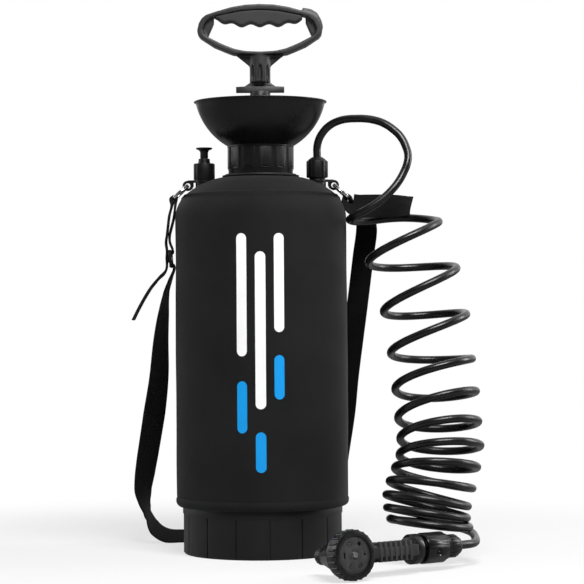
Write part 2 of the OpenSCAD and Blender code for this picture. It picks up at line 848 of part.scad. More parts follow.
// the coil's outer shape, as a closed pipe of the turns' thickness; its rings lie
// as the turns do
module hose_coil() {
    steps = 3;
    sides = 24;
    levels = smooth(coil_axis, steps);
    tilts = [for (v = smooth([for (t = coil_tilt) [t, 0, 0]], steps)) v.x];
    n = len(levels);
    function ring(i, r) = [
        for (k = [0 : sides - 1])
            levels[i] + [r * cos(k * 360 / sides), r * sin(k * 360 / sides), tilts[i] * cos(k * 360 / sides)]
    ];
    outer = [for (i = [0 : n - 1]) each ring(i, coil_out_r)];
    inner = [for (i = [0 : n - 1]) each ring(i, coil_in_r)];
    inner_0 = n * sides;
    last = (n - 1) * sides;
    walls = [
        for (i = [0 : n - 2], k = [0 : sides - 1])
            let (a = i * sides + k, b = i * sides + (k + 1) % sides, c = inner_0)
                each [
                    [a, b, b + sides], [a, b + sides, a + sides],
                    [b + c, a + c, a + c + sides], [b + c, a + c + sides, b + c + sides]
                ]
    ];
    caps = [
        for (k = [0 : sides - 1])
            let (a = k, b = (k + 1) % sides, c = inner_0)
                each [
                    [b, a, a + c], [b, a + c, b + c],
                    [a + last, b + last, b + last + c], [a + last, b + last + c, a + last + c]
                ]
    ];
    color(black_plastic) polyhedron(concat(outer, inner), concat(walls, caps), convexity = 6);
}

module hose_tail() {
    color(black_plastic) sweep(smooth(tail_route, 2), hose_od / 2, 10);
}

// Quick coupling, on the grip's axis, distances measured from the barrel

module hose_nut() {
    z0 = collar_t1 + 2.5;
    color(black_plastic)
    grip_frame() difference() {
        union() {
            translate([0, 0, z0]) cylinder(r = 10.9, h = nut_t1 - z0 - 4);
            translate([0, 0, nut_t1 - 4]) cylinder(r1 = 10.9, r2 = 8.6, h = 4);
            ribs(18, 10.9, 1.8, 0.8, z0 + 1, nut_t1 - 5);
        }
        translate([0, 0, z0 - 1]) cylinder(r = 7.5, h = 8);
        translate([0, 0, z0]) cylinder(r = 4.35, h = 60);
    }
}

module coupling_body() {
    color(black_plastic)
    grip_frame() difference() {
        union() {
            translate([0, 0, collar_t0 - 5]) cylinder(r = 11.6, h = collar_t1 + 7.5 - collar_t0);
            // end flange, inside the collar's end
            translate([0, 0, collar_t1 + 0.2]) cylinder(r = 13.05, h = 2.3);
            translate([0, 0, collar_t1 + 2]) cylinder(r = 7.4, h = 6);
            // barbed tail inside the hose nut
            translate([0, 0, collar_t1 + 5]) cylinder(r = 3, h = 13);
            translate([0, 0, collar_t1 + 11]) cylinder(r1 = 3, r2 = 3.8, h = 3);
        }
        translate([0, 0, collar_t0 - 5.5]) cylinder(r = 8.4, h = 23);
        translate([0, 0, collar_t0 + 5.5]) cylinder(r = 1.8, h = 60);
        // slots of the catch fingers
        for (a = [0 : 90 : 270])
            rotate([0, 0, a]) translate([7, -1.2, collar_t0 - 3.5]) cube([8, 2.4, 7]);
    }
}

module coupling_collar() {
    r = collar_od / 2;
    color(black_plastic)
    grip_frame() difference() {
        union() {
            translate([0, 0, collar_t0 + 1.2]) cylinder(r = r, h = collar_t1 - collar_t0 - 4);
            translate([0, 0, collar_t0]) cylinder(r1 = r - 0.8, r2 = r, h = 1.2 + eps);
            translate([0, 0, collar_t1 - 2.8]) cylinder(r1 = r, r2 = r - 1.2, h = 1.6);
        }
        translate([0, 0, collar_t0 - 1]) cylinder(r = 11.68, h = 50);
        translate([0, 0, collar_t0 + 9]) cylinder(r = 13.2, h = 40);
        // two thumb dimples
        for (a = [20, 200])
            rotate([0, 0, a]) translate([r + 1.6, 0, (collar_t0 + collar_t1) / 2 - 1]) sphere(r = 4.2, $fn = 48);
    }
}

module collar_spring() {
    color(steel)
    grip_frame() wire_spring(12.4, 0.5, collar_t0 + 9.3, collar_t1, 4);
}

module coupling_seal() {
    color(rubber_black)
    grip_frame() translate([0, 0, collar_t0 + 8.5]) rotate_extrude() translate([7.1, 0]) circle(r = 1.2, $fn = 24);
}

// Spray gun. Here +X is the way the water leaves and -Z runs down the grip.

module gun_adaptor() {
    color(black_plastic)
    grip_frame() difference() {
        union() {
            translate([0, 0, collar_t0 - 15]) cylinder(r = 11.5, h = 7.5);
            translate([0, 0, collar_t0 - 7.7]) cylinder(r = 12.4, h = 2.4);
            translate([0, 0, collar_t0 - 5.5]) cylinder(r = 8.2, h = 12.4);
            // the O-ring's groove and the nose in front of it
            translate([0, 0, collar_t0 + 6.5]) cylinder(r = 5.85, h = 4);
            translate([0, 0, collar_t0 + 10.1]) cylinder(r = 8.2, h = 4.4);
        }
        translate([0, 0, collar_t0 - 16]) cylinder(r = 4, h = 50);
        // the groove that the catch fingers drop into
        translate([0, 0, collar_t0 - 0.5]) difference() {
            cylinder(r = 10, h = 2.6);
            cylinder(r = 7, h = 2.6);
        }
    }
}

module gun_body() {
    swell_end = collar_t0 - 4;
    color(black_plastic)
    difference() {
        union() {
            // the barrel: a cone from behind the dial to the rear knob
            gun_frame() along_barrel() {
                translate([0, 0, rear_end]) cylinder(r1 = 9.5, r2 = 16.5, h = 2 - rear_end);
                translate([0, 0, 2]) cylinder(r1 = 16.5, r2 = 21, h = 10);
                translate([0, 0, 12]) cylinder(r = 21, h = 4);
                // a raised ring at the back edge of the dial
                translate([0, 0, 13.6]) cylinder(r = 23, h = 2);
            }
            grip_frame() {
                // the neck of the grip and its cage of ribs
                hull() {
                    translate([0, 0, 4]) cylinder(r = 12, h = 6, $fn = 32);
                    translate([0, 0, 26]) cylinder(r = 9.6, h = 4, $fn = 32);
                }
                translate([0, 0, 28]) cylinder(r = 6.2, h = 60);
                for (a = [35, 145, 215, 325])
                    rotate([0, 0, a]) translate([8.4, 0, 58]) cube([2.8, 3, 62], center = true);
                for (i = [0 : 8])
                    translate([0, 0, 31 + i * 6.6]) cylinder(r = 10, h = 2.4);
                // the swelling at the end, that takes the adaptor
                translate([0, 0, grip_end_t + 2.5]) cylinder(r = 15, h = swell_end - grip_end_t - 4);
                translate([0, 0, grip_end_t - 1]) cylinder(r1 = 12, r2 = 15, h = 3.5 + eps);
                translate([0, 0, swell_end - 1.5 - eps]) cylinder(r1 = 15, r2 = 14.2, h = 1.5);
                // the boss that holds the trigger's pin
                translate(pin_at) rotate([90, 0, 0]) cylinder(r = 5.4, h = 26, center = true);
            }
        }
        gun_frame() along_barrel() {
            translate([0, 0, rear_end - 2]) cylinder(r = 6.6, h = 9);
            translate([0, 0, rear_end + 6]) cylinder(r = 5.1, h = 2 - rear_end);
            translate([0, 0, 10.2]) cylinder(r = 17, h = 20);
            // screw hole and water ways through the partition
            translate([0, 0, 5]) cylinder(r = 1.95, h = 10);
            for (a = [0 : 72 : 288])
                rotate([0, 0, a]) translate([3.6, 0, 5]) cylinder(r = 0.9, h = 10, $fn = 16);
        }
        grip_frame() {
            translate([0, 0, 6]) cylinder(r = 3.5, h = grip_end_t);
            translate([0, 0, collar_t0 - 15.1]) cylinder(r = 11.55, h = 40);
            translate([0, 0, collar_t0 - 8]) cylinder(r = 12.6, h = 10);
            // slot for the trigger's head and the hole of its pin
            translate(pin_at + [4, 0, 1]) cube([17, 8.8, 17], center = true);
            translate(pin_at) rotate([90, 0, 0]) cylinder(r = 1.62, h = 22, center = true);
        }
    }
}

// the lever in front of the grip, with a spine and finger ribs
module trigger() {
    color(grey_grip)
    grip_frame() difference() {
        union() {
            translate(pin_at) rotate([90, 0, 0]) cylinder(r = 4.2, h = 8, center = true);
            hull() {
                translate(pin_at + [1.5, 0, 3]) cube([3, 7, 2], center = true);
                translate([lever_x, 0, 36]) cube([3, 11, 2], center = true);
            }
            translate([lever_x, 0, 56]) cube([3, 9, 41], center = true);
            for (i = [0 : 6])
                translate([lever_x, 0, 37 + i * 6.2]) cube([4.4, 19, 2.6], center = true);
            hull() {
                translate([lever_x, 0, 76]) cube([3, 12, 2], center = true);
                translate([lever_x + 2.5, 0, 81]) cube([3, 10, 2], center = true);
            }
        }
        translate(pin_at) rotate([90, 0, 0]) cylinder(r = 1.65, h = 40, center = true);
    }
}

module trigger_pin() {
    color(steel)
    grip_frame() translate(pin_at) rotate([90, 0, 0]) cylinder(r = 1.6, h = 20, center = true);
}

module trigger_spring() {
    color(steel)
    grip_frame() translate([0, 0, 39]) rotate([0, 90, 0]) wire_spring(2.6, 0.4, 10.2, lever_x - 2.3, 3);
}

// the plunger that shuts the water off, on the barrel's axis
module gun_valve() {
    color(steel)
    gun_frame() along_barrel() {
        translate([0, 0, rear_end + 8.5]) cylinder(r = 2, h = -rear_end - 4.5);
        translate([0, 0, 3]) cylinder(r = 4.6, h = 4);
    }
}

module dial() {
    r = dial_od / 2;
    teeth = 24;
    color(black_plastic)
    gun_frame() along_barrel() difference() {
        union() {
            translate([0, 0, 16.2]) cylinder(r = r - 1.2, h = 13.2, $fn = 96);
            // the serrated rim
            for (i = [0 : teeth - 1])
                rotate([0, 0, i * 360 / teeth]) translate([r - 1.5, 0, 17.4]) cylinder(r = 1.5, h = 10.6, $fn = 24);
            translate([0, 0, 10.5]) cylinder(r = 16.8, h = 6);
        }
        // the recess that the face sits in, and the bearing on the barrel
        translate([0, 0, 26.6]) cylinder(r = 18.2, h = 5, $fn = 96);
        translate([0, 0, 10]) cylinder(r = 3.1, h = 20);
    }
}

// the face with its holes: a ring of small ones, a fan, a slot and a jet
module dial_face() {
    color(grey_grip)
    gun_frame() along_barrel() difference() {
        translate([0, 0, 26.6]) cylinder(r = 18, h = 1.8, $fn = 96);
        translate([0, 0, 26]) cylinder(r = 3.1, h = 5);
        for (k = [0 : 5])
            rotate([0, 0, k * 60 + 60]) translate([12, 0, 26]) {
                if (k == 0)
                    cylinder(r = 2.2, h = 5);
                else if (k == 1)
                    for (a = [0 : 60 : 300])
                        rotate([0, 0, a]) translate([2.3, 0, 0]) cylinder(r = 0.6, h = 5, $fn = 16);
                else if (k == 2)
                    translate([-0.8, -3, 0]) cube([1.6, 6, 5]);
                else if (k == 3)
                    for (a = [-1 : 1])
                        translate([a * 1.8, 0, 0]) cylinder(r = 0.7, h = 5, $fn = 16);
                else if (k == 4)
                    for (a = [-1 : 1])
                        translate([-2, a * 2 - 0.4, 0]) cube([4, 0.8, 5]);
                else
                    cylinder(r = 1.2, h = 5);
            }
    }
}

module dial_screw() {
    color(steel)
    gun_frame() along_barrel() difference() {
        union() {
            translate([0, 0, 8]) cylinder(r = 1.9, h = 20);
            translate([0, 0, 28.4]) cylinder(r1 = 3.4, r2 = 2.6, h = 1.8);
            translate([0, 0, 11]) cylinder(r = 3, h = 17.4);
        }
        for (a = [0, 90])
            rotate([0, 0, a]) translate([-2, -0.4, 29.2]) cube([4, 0.8, 2]);
    }
}

module rear_knob() {
    color(black_plastic)
    gun_frame() along_barrel() {
        difference() {
            union() {
                translate([0, 0, rear_end - 9]) cylinder(r = 8.2, h = 8.6);
                ribs(16, 8.2, 1.5, 0.7, rear_end - 8, rear_end - 1.2);
                translate([0, 0, rear_end - 11]) cylinder(r1 = 6, r2 = 8.2, h = 2 + eps);
            }
            translate([0, 0, rear_end - 12]) cylinder(r = 3, h = 3);
        }
        translate([0, 0, rear_end - 1]) cylinder(r = 6.52, h = 6);
    }
}

tank();
sleeve();
foot();
neck_washer();
neck_nut();
funnel();
valve_body();
valve_nut();
valve_spring();
valve_seal();
valve_knob();
outlet_spigot();
outlet_gasket();
outlet_nut();
dip_tube();
dip_strainer();
strap_lug_left();
strap_lug_right();
strap_ring_left();
strap_ring_right();
strap();
strap_slider();
pump_gasket();
pump_cap();
pump_barrel();
foot_valve();
piston_ring();
piston();
rod();
handle();
handle_grip();
hose_lead();
hose_coil();
hose_tail();
hose_nut();
coupling_body();
coupling_collar();
collar_spring();
coupling_seal();
gun_body();
gun_adaptor();
trigger();
trigger_pin();
trigger_spring();
gun_valve();
dial();
dial_face();
dial_screw();
rear_knob();
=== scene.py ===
# %% [markdown]
# # A portable pressure shower
# This is a bottle that is filled through a bowl, pumped up by hand and carried on a strap.
# Its water runs through a long coiled hose to a spray gun, which lies on the floor.
# The working pieces come from the CAD model and keep their places and sizes. Here they get
# their finish and their rounded edges, and the soft pieces, such as the fabric sleeve and the
# webbing, get their real shape. Every length is in metres, and `mm` turns a size in
# millimetres into metres.

import json
import math

import bpy
from mathutils import Matrix, Vector
from mathutils.geometry import interpolate_bezier


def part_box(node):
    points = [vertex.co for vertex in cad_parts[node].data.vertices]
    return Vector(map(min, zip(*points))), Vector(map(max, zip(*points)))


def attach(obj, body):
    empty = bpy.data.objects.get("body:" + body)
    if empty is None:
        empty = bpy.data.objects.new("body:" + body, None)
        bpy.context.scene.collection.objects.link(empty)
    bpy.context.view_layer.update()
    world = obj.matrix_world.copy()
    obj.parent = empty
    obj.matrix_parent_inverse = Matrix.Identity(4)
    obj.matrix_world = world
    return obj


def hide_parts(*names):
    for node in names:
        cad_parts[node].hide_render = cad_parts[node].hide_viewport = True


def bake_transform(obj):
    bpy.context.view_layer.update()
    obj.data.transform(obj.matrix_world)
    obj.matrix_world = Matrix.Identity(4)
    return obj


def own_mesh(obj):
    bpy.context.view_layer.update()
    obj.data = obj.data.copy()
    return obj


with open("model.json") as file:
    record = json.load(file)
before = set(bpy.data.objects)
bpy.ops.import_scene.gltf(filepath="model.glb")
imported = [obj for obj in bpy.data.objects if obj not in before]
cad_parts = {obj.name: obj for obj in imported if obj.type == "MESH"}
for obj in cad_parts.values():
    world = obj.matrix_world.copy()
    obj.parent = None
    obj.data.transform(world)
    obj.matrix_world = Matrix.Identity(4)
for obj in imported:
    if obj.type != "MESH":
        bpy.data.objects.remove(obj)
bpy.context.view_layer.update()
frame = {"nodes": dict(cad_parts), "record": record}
nodes = frame["nodes"]
record = frame["record"]
slot_of = {row["node"]: row["material_slot"] for row in record["subparts"]}
body_of = {node: body for body, held in record["behaviour"]["bodies"].items() for node in held}
mm = 0.001

# %% [markdown]
# ## The camera
# The photograph was taken from far back with a long lens, because the bowl's rim is an
# almost flat ellipse. Four values hold the view: how many pixels one metre takes at a
# distance of one metre, where the camera stands, how far it is tipped up and how far it
# leans over. The rim shows its underside and the foot its top, so the camera is at about
# the middle of the bottle.

# %% Place the camera
PHOTO_PX = 584
FOCAL_PX = 2200
SENSOR_WIDTH = 36.0
EYE = Vector((0.033, -2.376, 0.2608))
TILT_UP = 0.469
LEAN = 0.36

camera_data = bpy.data.cameras.new("photo_camera")
camera_data.sensor_width = SENSOR_WIDTH
camera_data.lens = FOCAL_PX / PHOTO_PX * SENSOR_WIDTH
camera = bpy.data.objects.new("photo_camera", camera_data)
bpy.context.scene.collection.objects.link(camera)
look = Matrix.Rotation(math.radians(90 + TILT_UP), 4, "X")
roll = Matrix.Rotation(math.radians(-LEAN), 4, "Z")
camera.matrix_world = Matrix.Translation(EYE) @ look @ roll
bpy.context.scene.camera = camera
print("lens in mm:", round(camera_data.lens, 1))

# %% [markdown]
# ## The hose
# The hose is one length of glossy tube. It leaves the outlet nut straight up, falls over in
# a loop, comes back in front of the strap, turns and runs into a self-winding coil of about
# eleven and a half turns, which is open at its top and closes up at its foot. A curve with
# a round bevel is the right tool, because its line is the hose's middle and its length can
# be measured. Once it is measured, the curve becomes a mesh, because the box of a mesh is
# its true size. The loop and the tail go through listed points. The coil is worked out
# by a formula: its middle moves down and sideways from turn to turn, and each turn leans.

# %% Work out the hose's line
HOSE_D = 8.5 * mm
lead_route = [
    (61, 0, 422), (61, 0, 429), (61, 0, 436), (63, -1, 444.5), (67.5, -2, 452.5),
    (74.5, -3, 459.5), (83.5, -6, 464), (93, -9, 466), (103, -12, 466.2),
    (112, -15, 465.8), (122, -18, 464), (132.5, -22, 460), (143, -26, 452.5),
    (150, -29, 445), (155, -32, 435), (157.5, -35, 424.5), (156, -38, 415),
    (152.5, -40, 406.5), (147.5, -43, 397.5), (141, -46, 389), (132.5, -48, 380.5),
    (123, -49, 373), (112, -48.5, 366.5), (102.5, -45, 361.5), (97, -38.5, 358.5),
    (95, -30, 357), (97, -20, 356), (102.5, -10.5, 355.5), (111, -3, 356),
    (121, 2, 357), (133, 5, 358.5), (146, 5.5, 359.5), (159, 3, 359.5),
    (171, -3.5, 358.5), (181, -12.5, 357), (187, -23.5, 355.5),
]
tail_route = [
    (132.5, -113, 46), (135.5, -99, 43.5), (143, -85.5, 41.5), (154, -75, 39.5),
    (167, -67.5, 37.5), (181, -64.5, 35.5), (195, -65, 33.5), (207, -71, 31.5),
    (214.5, -82, 30), (218.5, -95, 28.5), (219.5, -109, 26.5), (219.5, -124, 24.5),
    (217.4, -136.5, 23.3), (212, -147, 23), (202.7, -156.4, 23), (197.8, -160.3, 23),
]
# middle of the coil at each turn, and how much higher its right side and its front lie
coil_axis = [
    (147.9, -36, 343.2), (165.8, -43, 293.9), (175.4, -50, 245.9), (180.5, -57, 202.3),
    (183.9, -64, 167.5), (185.6, -71, 139.5), (187.1, -78, 117.6), (183, -85, 99.5),
    (177.4, -92, 82.4), (171.9, -99, 66.6), (170.2, -106, 54.6), (172.1, -111.5, 43.9),
    (174.6, -117, 36),
]
coil_tilt = [11, 11.1, 10, 6.2, 6.5, 2.9, 0.1, -3.7, -7.9, -9.8, -8.9, -7.1, -6.5]
coil_lift = [0, 2, 4, 7, 11, 13, 12.5, 11, 7, 4.5, 2.5, 1.3, 1]
COIL_R = 41.5
TURN_STEPS = 16
LAST_TURN = 11.4


def between(values, place):
    """A value on the smooth curve through a list, at a place counted in list steps."""
    last = len(values) - 1
    i = min(int(place), last - 1)
    f = place - i
    a, b, c, d = (values[max(0, min(last, i + k))] for k in (-1, 0, 1, 2))
    return 0.5 * (2 * b + (c - a) * f + (2 * a - 5 * b + 4 * c - d) * f**2
                  + (3 * b - 3 * c + d - a) * f**3)


def coil_point(turn):
    """The hose's middle at a number of turns below the top of the coil."""
    middle = between([Vector(p) for p in coil_axis], turn)
    angle = -2 * math.pi * turn
    rise = between(coil_tilt, turn) * math.cos(angle) - between(coil_lift, turn) * math.sin(angle)
    return middle + Vector((COIL_R * math.cos(angle), COIL_R * math.sin(angle), rise))


coil_points = [coil_point(step / TURN_STEPS) for step in range(math.ceil(LAST_TURN * TURN_STEPS))]
hose_line = [Vector(p) * mm for p in lead_route] + [p * mm for p in coil_points]
hose_line += [Vector(p) * mm for p in tail_route]
print("hose points:", len(hose_line))


# %% Draw the hose as a bevelled curve
def tube_through(name, points, radius, rings, roundness=6):
    """A round tube along a smooth line."""
    data = bpy.data.curves.new(name, "CURVE")
    data.dimensions = "3D"
    spline = data.splines.new("BEZIER")
    spline.bezier_points.add(len(points) - 1)
    for knot, point in zip(spline.bezier_points, points):
        knot.co = point
        knot.handle_left_type = "AUTO"
        knot.handle_right_type = "AUTO"
    data.resolution_u = rings
    data.render_resolution_u = rings
    data.bevel_depth = radius
    data.bevel_resolution = roundness
    data.use_fill_caps = True
    tube = bpy.data.objects.new(name, data)
    bpy.context.scene.collection.objects.link(tube)
    return tube


def points_along(tube, steps):
    """Close points along the middle of a tube's line."""
    knots = tube.data.splines[0].bezier_points
    found = [knots[0].co.copy()]
    for here, ahead in zip(knots[:-1], knots[1:]):
        run = interpolate_bezier(here.co, here.handle_right, ahead.handle_left, ahead.co, steps + 1)
        found += run[1:]
    return found


def select_only(piece):
    """Makes a piece the only one selected and the active one."""
    bpy.ops.object.select_all(action="DESELECT")
    piece.select_set(True)
    bpy.context.view_layer.objects.active = piece


def tube_to_mesh(tube):
    """Makes a tube a mesh, so that its true size can be measured."""
    select_only(tube)
    bpy.ops.object.convert(target="MESH")
    bpy.ops.object.shade_smooth_by_angle(angle=math.radians(60))
    return bpy.context.object


RINGS_PER_POINT = 3
hose = tube_through("hose", hose_line, HOSE_D / 2, rings=RINGS_PER_POINT)
bpy.context.view_layer.update()
hose_length = hose.data.splines[0].calc_length()
hose_path = points_along(hose, RINGS_PER_POINT)
hose = tube_to_mesh(hose)
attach(hose, "tank")
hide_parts("hose_lead", "hose_coil", "hose_tail")
print("hose length in m:", round(hose_length, 3))

# %% [markdown]
# ## Floor, background and light
# The object stands in a white studio. Turning the lamps up until a grey floor looks white
# would wash out the black plastics, so the white is only shown to the camera. In the
# plastics the sides of the studio show as bright edges, and the dark side where the
# camera stands keeps their middle black, so mirror-like reflections see a world that is
# bright at its sides and back and dark in front.

# %% Build the studio
FLOOR_SIZE = 40.0
bpy.ops.object.select_all(action="DESELECT")
bpy.ops.mesh.primitive_plane_add(size=FLOOR_SIZE, location=(0, 0, 0))
floor = bpy.context.object
floor.name = "studio_floor"


def calculate(tree, operation, first, second):
    """One sum on two values, each a socket or a number."""
    node = tree.nodes.new("ShaderNodeMath")
    node.operation = operation
    for socket, value in zip(node.inputs, (first, second)):
        if isinstance(value, (int, float)):
            socket.default_value = value
        else:
            tree.links.new(value, socket)
    return node.outputs[0]


def seen_strength(tree, to_camera, to_mirror, to_rest):
    """A strength for camera rays, for reflections and see-through rays, and for all others."""
    path = tree.nodes.new("ShaderNodeLightPath")
    camera_ray = path.outputs["Is Camera Ray"]
    through_ray = path.outputs["Is Transmission Ray"]
    mirrored = calculate(tree, "MAXIMUM", path.outputs["Is Glossy Ray"], through_ray)
    mirror_part = calculate(tree, "MULTIPLY", mirrored, to_mirror)
    others = calculate(tree, "SUBTRACT", 1.0, calculate(tree, "MAXIMUM", camera_ray, mirrored))
    rest_part = calculate(tree, "MULTIPLY", others, to_rest)
    camera_part = calculate(tree, "MULTIPLY", camera_ray, to_camera)
    return calculate(tree, "ADD", calculate(tree, "ADD", mirror_part, rest_part), camera_part)


def map_range(tree, value, start, end, low, high, kind="LINEAR"):
    """Goes from low to high while a value goes from start to end."""
    ranged = tree.nodes.new("ShaderNodeMapRange")
    ranged.interpolation_type = kind
    for label, number in (("From Min", start), ("From Max", end), ("To Min", low), ("To Max", high)):
        ranged.inputs[label].default_value = number
    tree.links.new(value, ranged.inputs["Value"])
    return ranged.outputs["Result"]


WORLD_FILL = 0.13
# strengths that reflections see, in front, behind and on the floor
MIRROR_FRONT = 0.04
MIRROR_BACK = 1.0
MIRROR_FLOOR = 0.22
# how far along Y a direction still looks into the dark front, and where the bright back starts
FRONT_UNTIL = -0.55
BACK_FROM = 0.35

world = bpy.data.worlds.new("studio_world")
bpy.context.scene.world = world
world.use_nodes = True
tree = world.node_tree
tree.nodes.clear()
direction = tree.nodes.new("ShaderNodeTexCoord")
parts = tree.nodes.new("ShaderNodeSeparateXYZ")
tree.links.new(direction.outputs["Generated"], parts.inputs[0])
mirror_world = map_range(tree, parts.outputs["Y"], FRONT_UNTIL, BACK_FROM, MIRROR_FRONT, MIRROR_BACK,
                         "SMOOTHSTEP")
sky = tree.nodes.new("ShaderNodeBackground")
sky.inputs["Color"].default_value = (1, 1, 1, 1)
tree.links.new(seen_strength(tree, 1.0, mirror_world, WORLD_FILL), sky.inputs["Strength"])
out = tree.nodes.new("ShaderNodeOutputWorld")
tree.links.new(sky.outputs[0], out.inputs[0])

# %% [markdown]
# ## The white floor
# Near the object the floor takes its shadows. Further off it turns into plain white and
# runs into the background, so no edge shows between them.

# %% Paint the floor
FLOOR_GREY = 0.9
# distances from the middle between which the floor turns white, and its whiteness at each
SHADOWS_UNTIL = 0.32
WHITE_FROM = 0.75
NEAR_WHITE = 0.66
FAR_WHITE = 1.0
MIRRORED_WHITE = 0.8

floor_finish = bpy.data.materials.new("studio_floor")
floor_finish.use_nodes = True
tree = floor_finish.node_tree
tree.nodes.clear()
paint = tree.nodes.new("ShaderNodeBsdfDiffuse")
paint.inputs["Color"].default_value = (FLOOR_GREY, FLOOR_GREY, FLOOR_GREY, 1)
white = tree.nodes.new("ShaderNodeEmission")
white.inputs["Color"].default_value = (1, 1, 1, 1)
tree.links.new(seen_strength(tree, 1.0, MIRROR_FLOOR, 0.0), white.inputs["Strength"])
place = tree.nodes.new("ShaderNodeTexCoord")
reach = tree.nodes.new("ShaderNodeVectorMath")
reach.operation = "LENGTH"
tree.links.new(place.outputs["Object"], reach.inputs[0])
whiteness = map_range(tree, reach.outputs["Value"], SHADOWS_UNTIL, WHITE_FROM, NEAR_WHITE, FAR_WHITE,
                      "SMOOTHSTEP")
choose = tree.nodes.new("ShaderNodeMixShader")
out = tree.nodes.new("ShaderNodeOutputMaterial")
tree.links.new(seen_strength(tree, whiteness, MIRRORED_WHITE, 0.0), choose.inputs[0])
tree.links.new(paint.outputs[0], choose.inputs[1])
tree.links.new(white.outputs[0], choose.inputs[2])
tree.links.new(choose.outputs[0], out.inputs[0])
floor.data.materials.append(floor_finish)
print("floor turns white between", SHADOWS_UNTIL, "and", WHITE_FROM, "m from the middle")


# %% Hang the lamps
def softbox(name, place, target, width, height, watts):
    """A rectangular lamp that faces a point."""
    data = bpy.data.lights.new(name, "AREA")
    data.shape = "RECTANGLE"
    data.size = width
    data.size_y = height
    data.energy = watts
    lamp = bpy.data.objects.new(name, data)
    bpy.context.scene.collection.objects.link(lamp)
    facing = (Vector(target) - Vector(place)).to_track_quat("-Z", "Y")
    lamp.matrix_world = Matrix.Translation(place) @ facing.to_matrix().to_4x4()
    return lamp


softbox("front_top", (0.4, -1.15, 1.6), (0.03, 0, 0.4), 1.0, 0.6, 36)
softbox("key_left", (-1.7, 0.3, 0.8), (0, 0, 0.3), 0.4, 1.0, 4)
softbox("key_right", (1.7, 0.2, 0.9), (0.05, 0, 0.3), 0.4, 1.0, 11)
bpy.context.scene.view_settings.view_transform = "Standard"
print("lamps:", len(bpy.data.lights))

# %% [markdown]
# ## Finishes
# Almost everything here is black, so the finish is in how each black takes the light:
# satin moulded plastic with a faint grain, a smoother bowl, knitted fabric that drinks
# the light, glossy hose and dull rubber. One function makes a moulded plastic: a fine
# noise for the grain, a coarse one that varies the gloss as handling does, and a
# little lighter colour where the coarse noise is high.


# %% A moulded plastic with grain and handling
def start_material(name, color, roughness, metallic=0.0, specular=0.5):
    """A new material with its main shader, and the object's own coordinates."""
    material = bpy.data.materials.new(name)
    material.use_nodes = True
    tree = material.node_tree
    shader = tree.nodes["Principled BSDF"]
    shader.inputs["Base Color"].default_value = (*color, 1)
    shader.inputs["Roughness"].default_value = roughness
    shader.inputs["Metallic"].default_value = metallic
    shader.inputs["Specular IOR Level"].default_value = specular
    where = tree.nodes.new("ShaderNodeTexCoord")
    return material, tree, shader, where


def noise(tree, vector, scale, detail=3.0):
    """A noise pattern."""
    pattern = tree.nodes.new("ShaderNodeTexNoise")
    pattern.inputs["Scale"].default_value = scale
    pattern.inputs["Detail"].default_value = detail
    tree.links.new(vector, pattern.inputs["Vector"])
    return pattern.outputs["Fac"]


# a noise pattern's values lie mostly between these two
NOISE_LOW = 0.3
NOISE_HIGH = 0.7


def spread(tree, value, low, high):
    """Moves a noise pattern's values to a range."""
    return map_range(tree, value, NOISE_LOW, NOISE_HIGH, low, high)


def tint(tree, shader, value, dark, light):
    """Colours the shader between two colours by a pattern."""
    mix = tree.nodes.new("ShaderNodeMix")
    mix.data_type = "RGBA"
    mix.inputs["A"].default_value = (*dark, 1)
    mix.inputs["B"].default_value = (*light, 1)
    tree.links.new(value, mix.inputs["Factor"])
    tree.links.new(mix.outputs["Result"], shader.inputs["Base Color"])


def bump(tree, shader, height, distance):
    """Raises the surface by a pattern, by a distance in metres, on top of any bump it has."""
    raised = tree.nodes.new("ShaderNodeBump")
    raised.inputs["Strength"].default_value = 1.0
    raised.inputs["Distance"].default_value = distance
    tree.links.new(height, raised.inputs["Height"])
    if shader.inputs["Normal"].links:
        tree.links.new(shader.inputs["Normal"].links[0].from_socket, raised.inputs["Normal"])
    tree.links.new(raised.outputs["Normal"], shader.inputs["Normal"])


def shade(color, factor):
    """A colour made lighter or darker."""
    return tuple(min(1.0, channel * factor) for channel in color)


def moulded(name, color, roughness, grain=900.0, grain_height=0.00004, specular=0.4):
    """A moulded plastic with a fine grain and uneven gloss."""
    material, tree, shader, where = start_material(name, color, roughness, specular=specular)
    handled = noise(tree, where.outputs["Object"], 28.0)
    tree.links.new(spread(tree, handled, roughness - 0.06, roughness + 0.08), shader.inputs["Roughness"])
    tint(tree, shader, spread(tree, handled, 0.0, 1.0), shade(color, 0.85), shade(color, 1.25))
    bump(tree, shader, noise(tree, where.outputs["Object"], grain, 2.0), grain_height)
    return material


finishes = {
    "black_plastic": moulded("black_plastic", (0.006, 0.006, 0.0065), 0.4, specular=0.3),
    "handle_plastic": moulded("handle_plastic", (0.024, 0.024, 0.025), 0.42, specular=0.5),
    "bowl_plastic": moulded("bowl_plastic", (0.004, 0.004, 0.0045), 0.3, grain_height=0.00002,
                            specular=0.3),
    "foot_plastic": moulded("foot_plastic", (0.008, 0.008, 0.009), 0.4, specular=0.35),
    "tank_plastic": moulded("tank_plastic", (0.010, 0.010, 0.011), 0.45),
    "gun_plastic": moulded("gun_plastic", (0.006, 0.006, 0.0065), 0.28, specular=0.4),
    "grip_soft": moulded("grip_soft", (0.024, 0.024, 0.025), 0.6, grain=1600.0, grain_height=0.00006),
    "natural_plastic": moulded("natural_plastic", (0.6, 0.6, 0.58), 0.35),
    "seal_rubber": moulded("seal_rubber", (0.006, 0.006, 0.006), 0.65, grain=1500.0),
    "hose_pu": moulded("hose_pu", (0.004, 0.004, 0.0045), 0.3, grain=90.0, grain_height=0.000004,
                       specular=0.5),
}
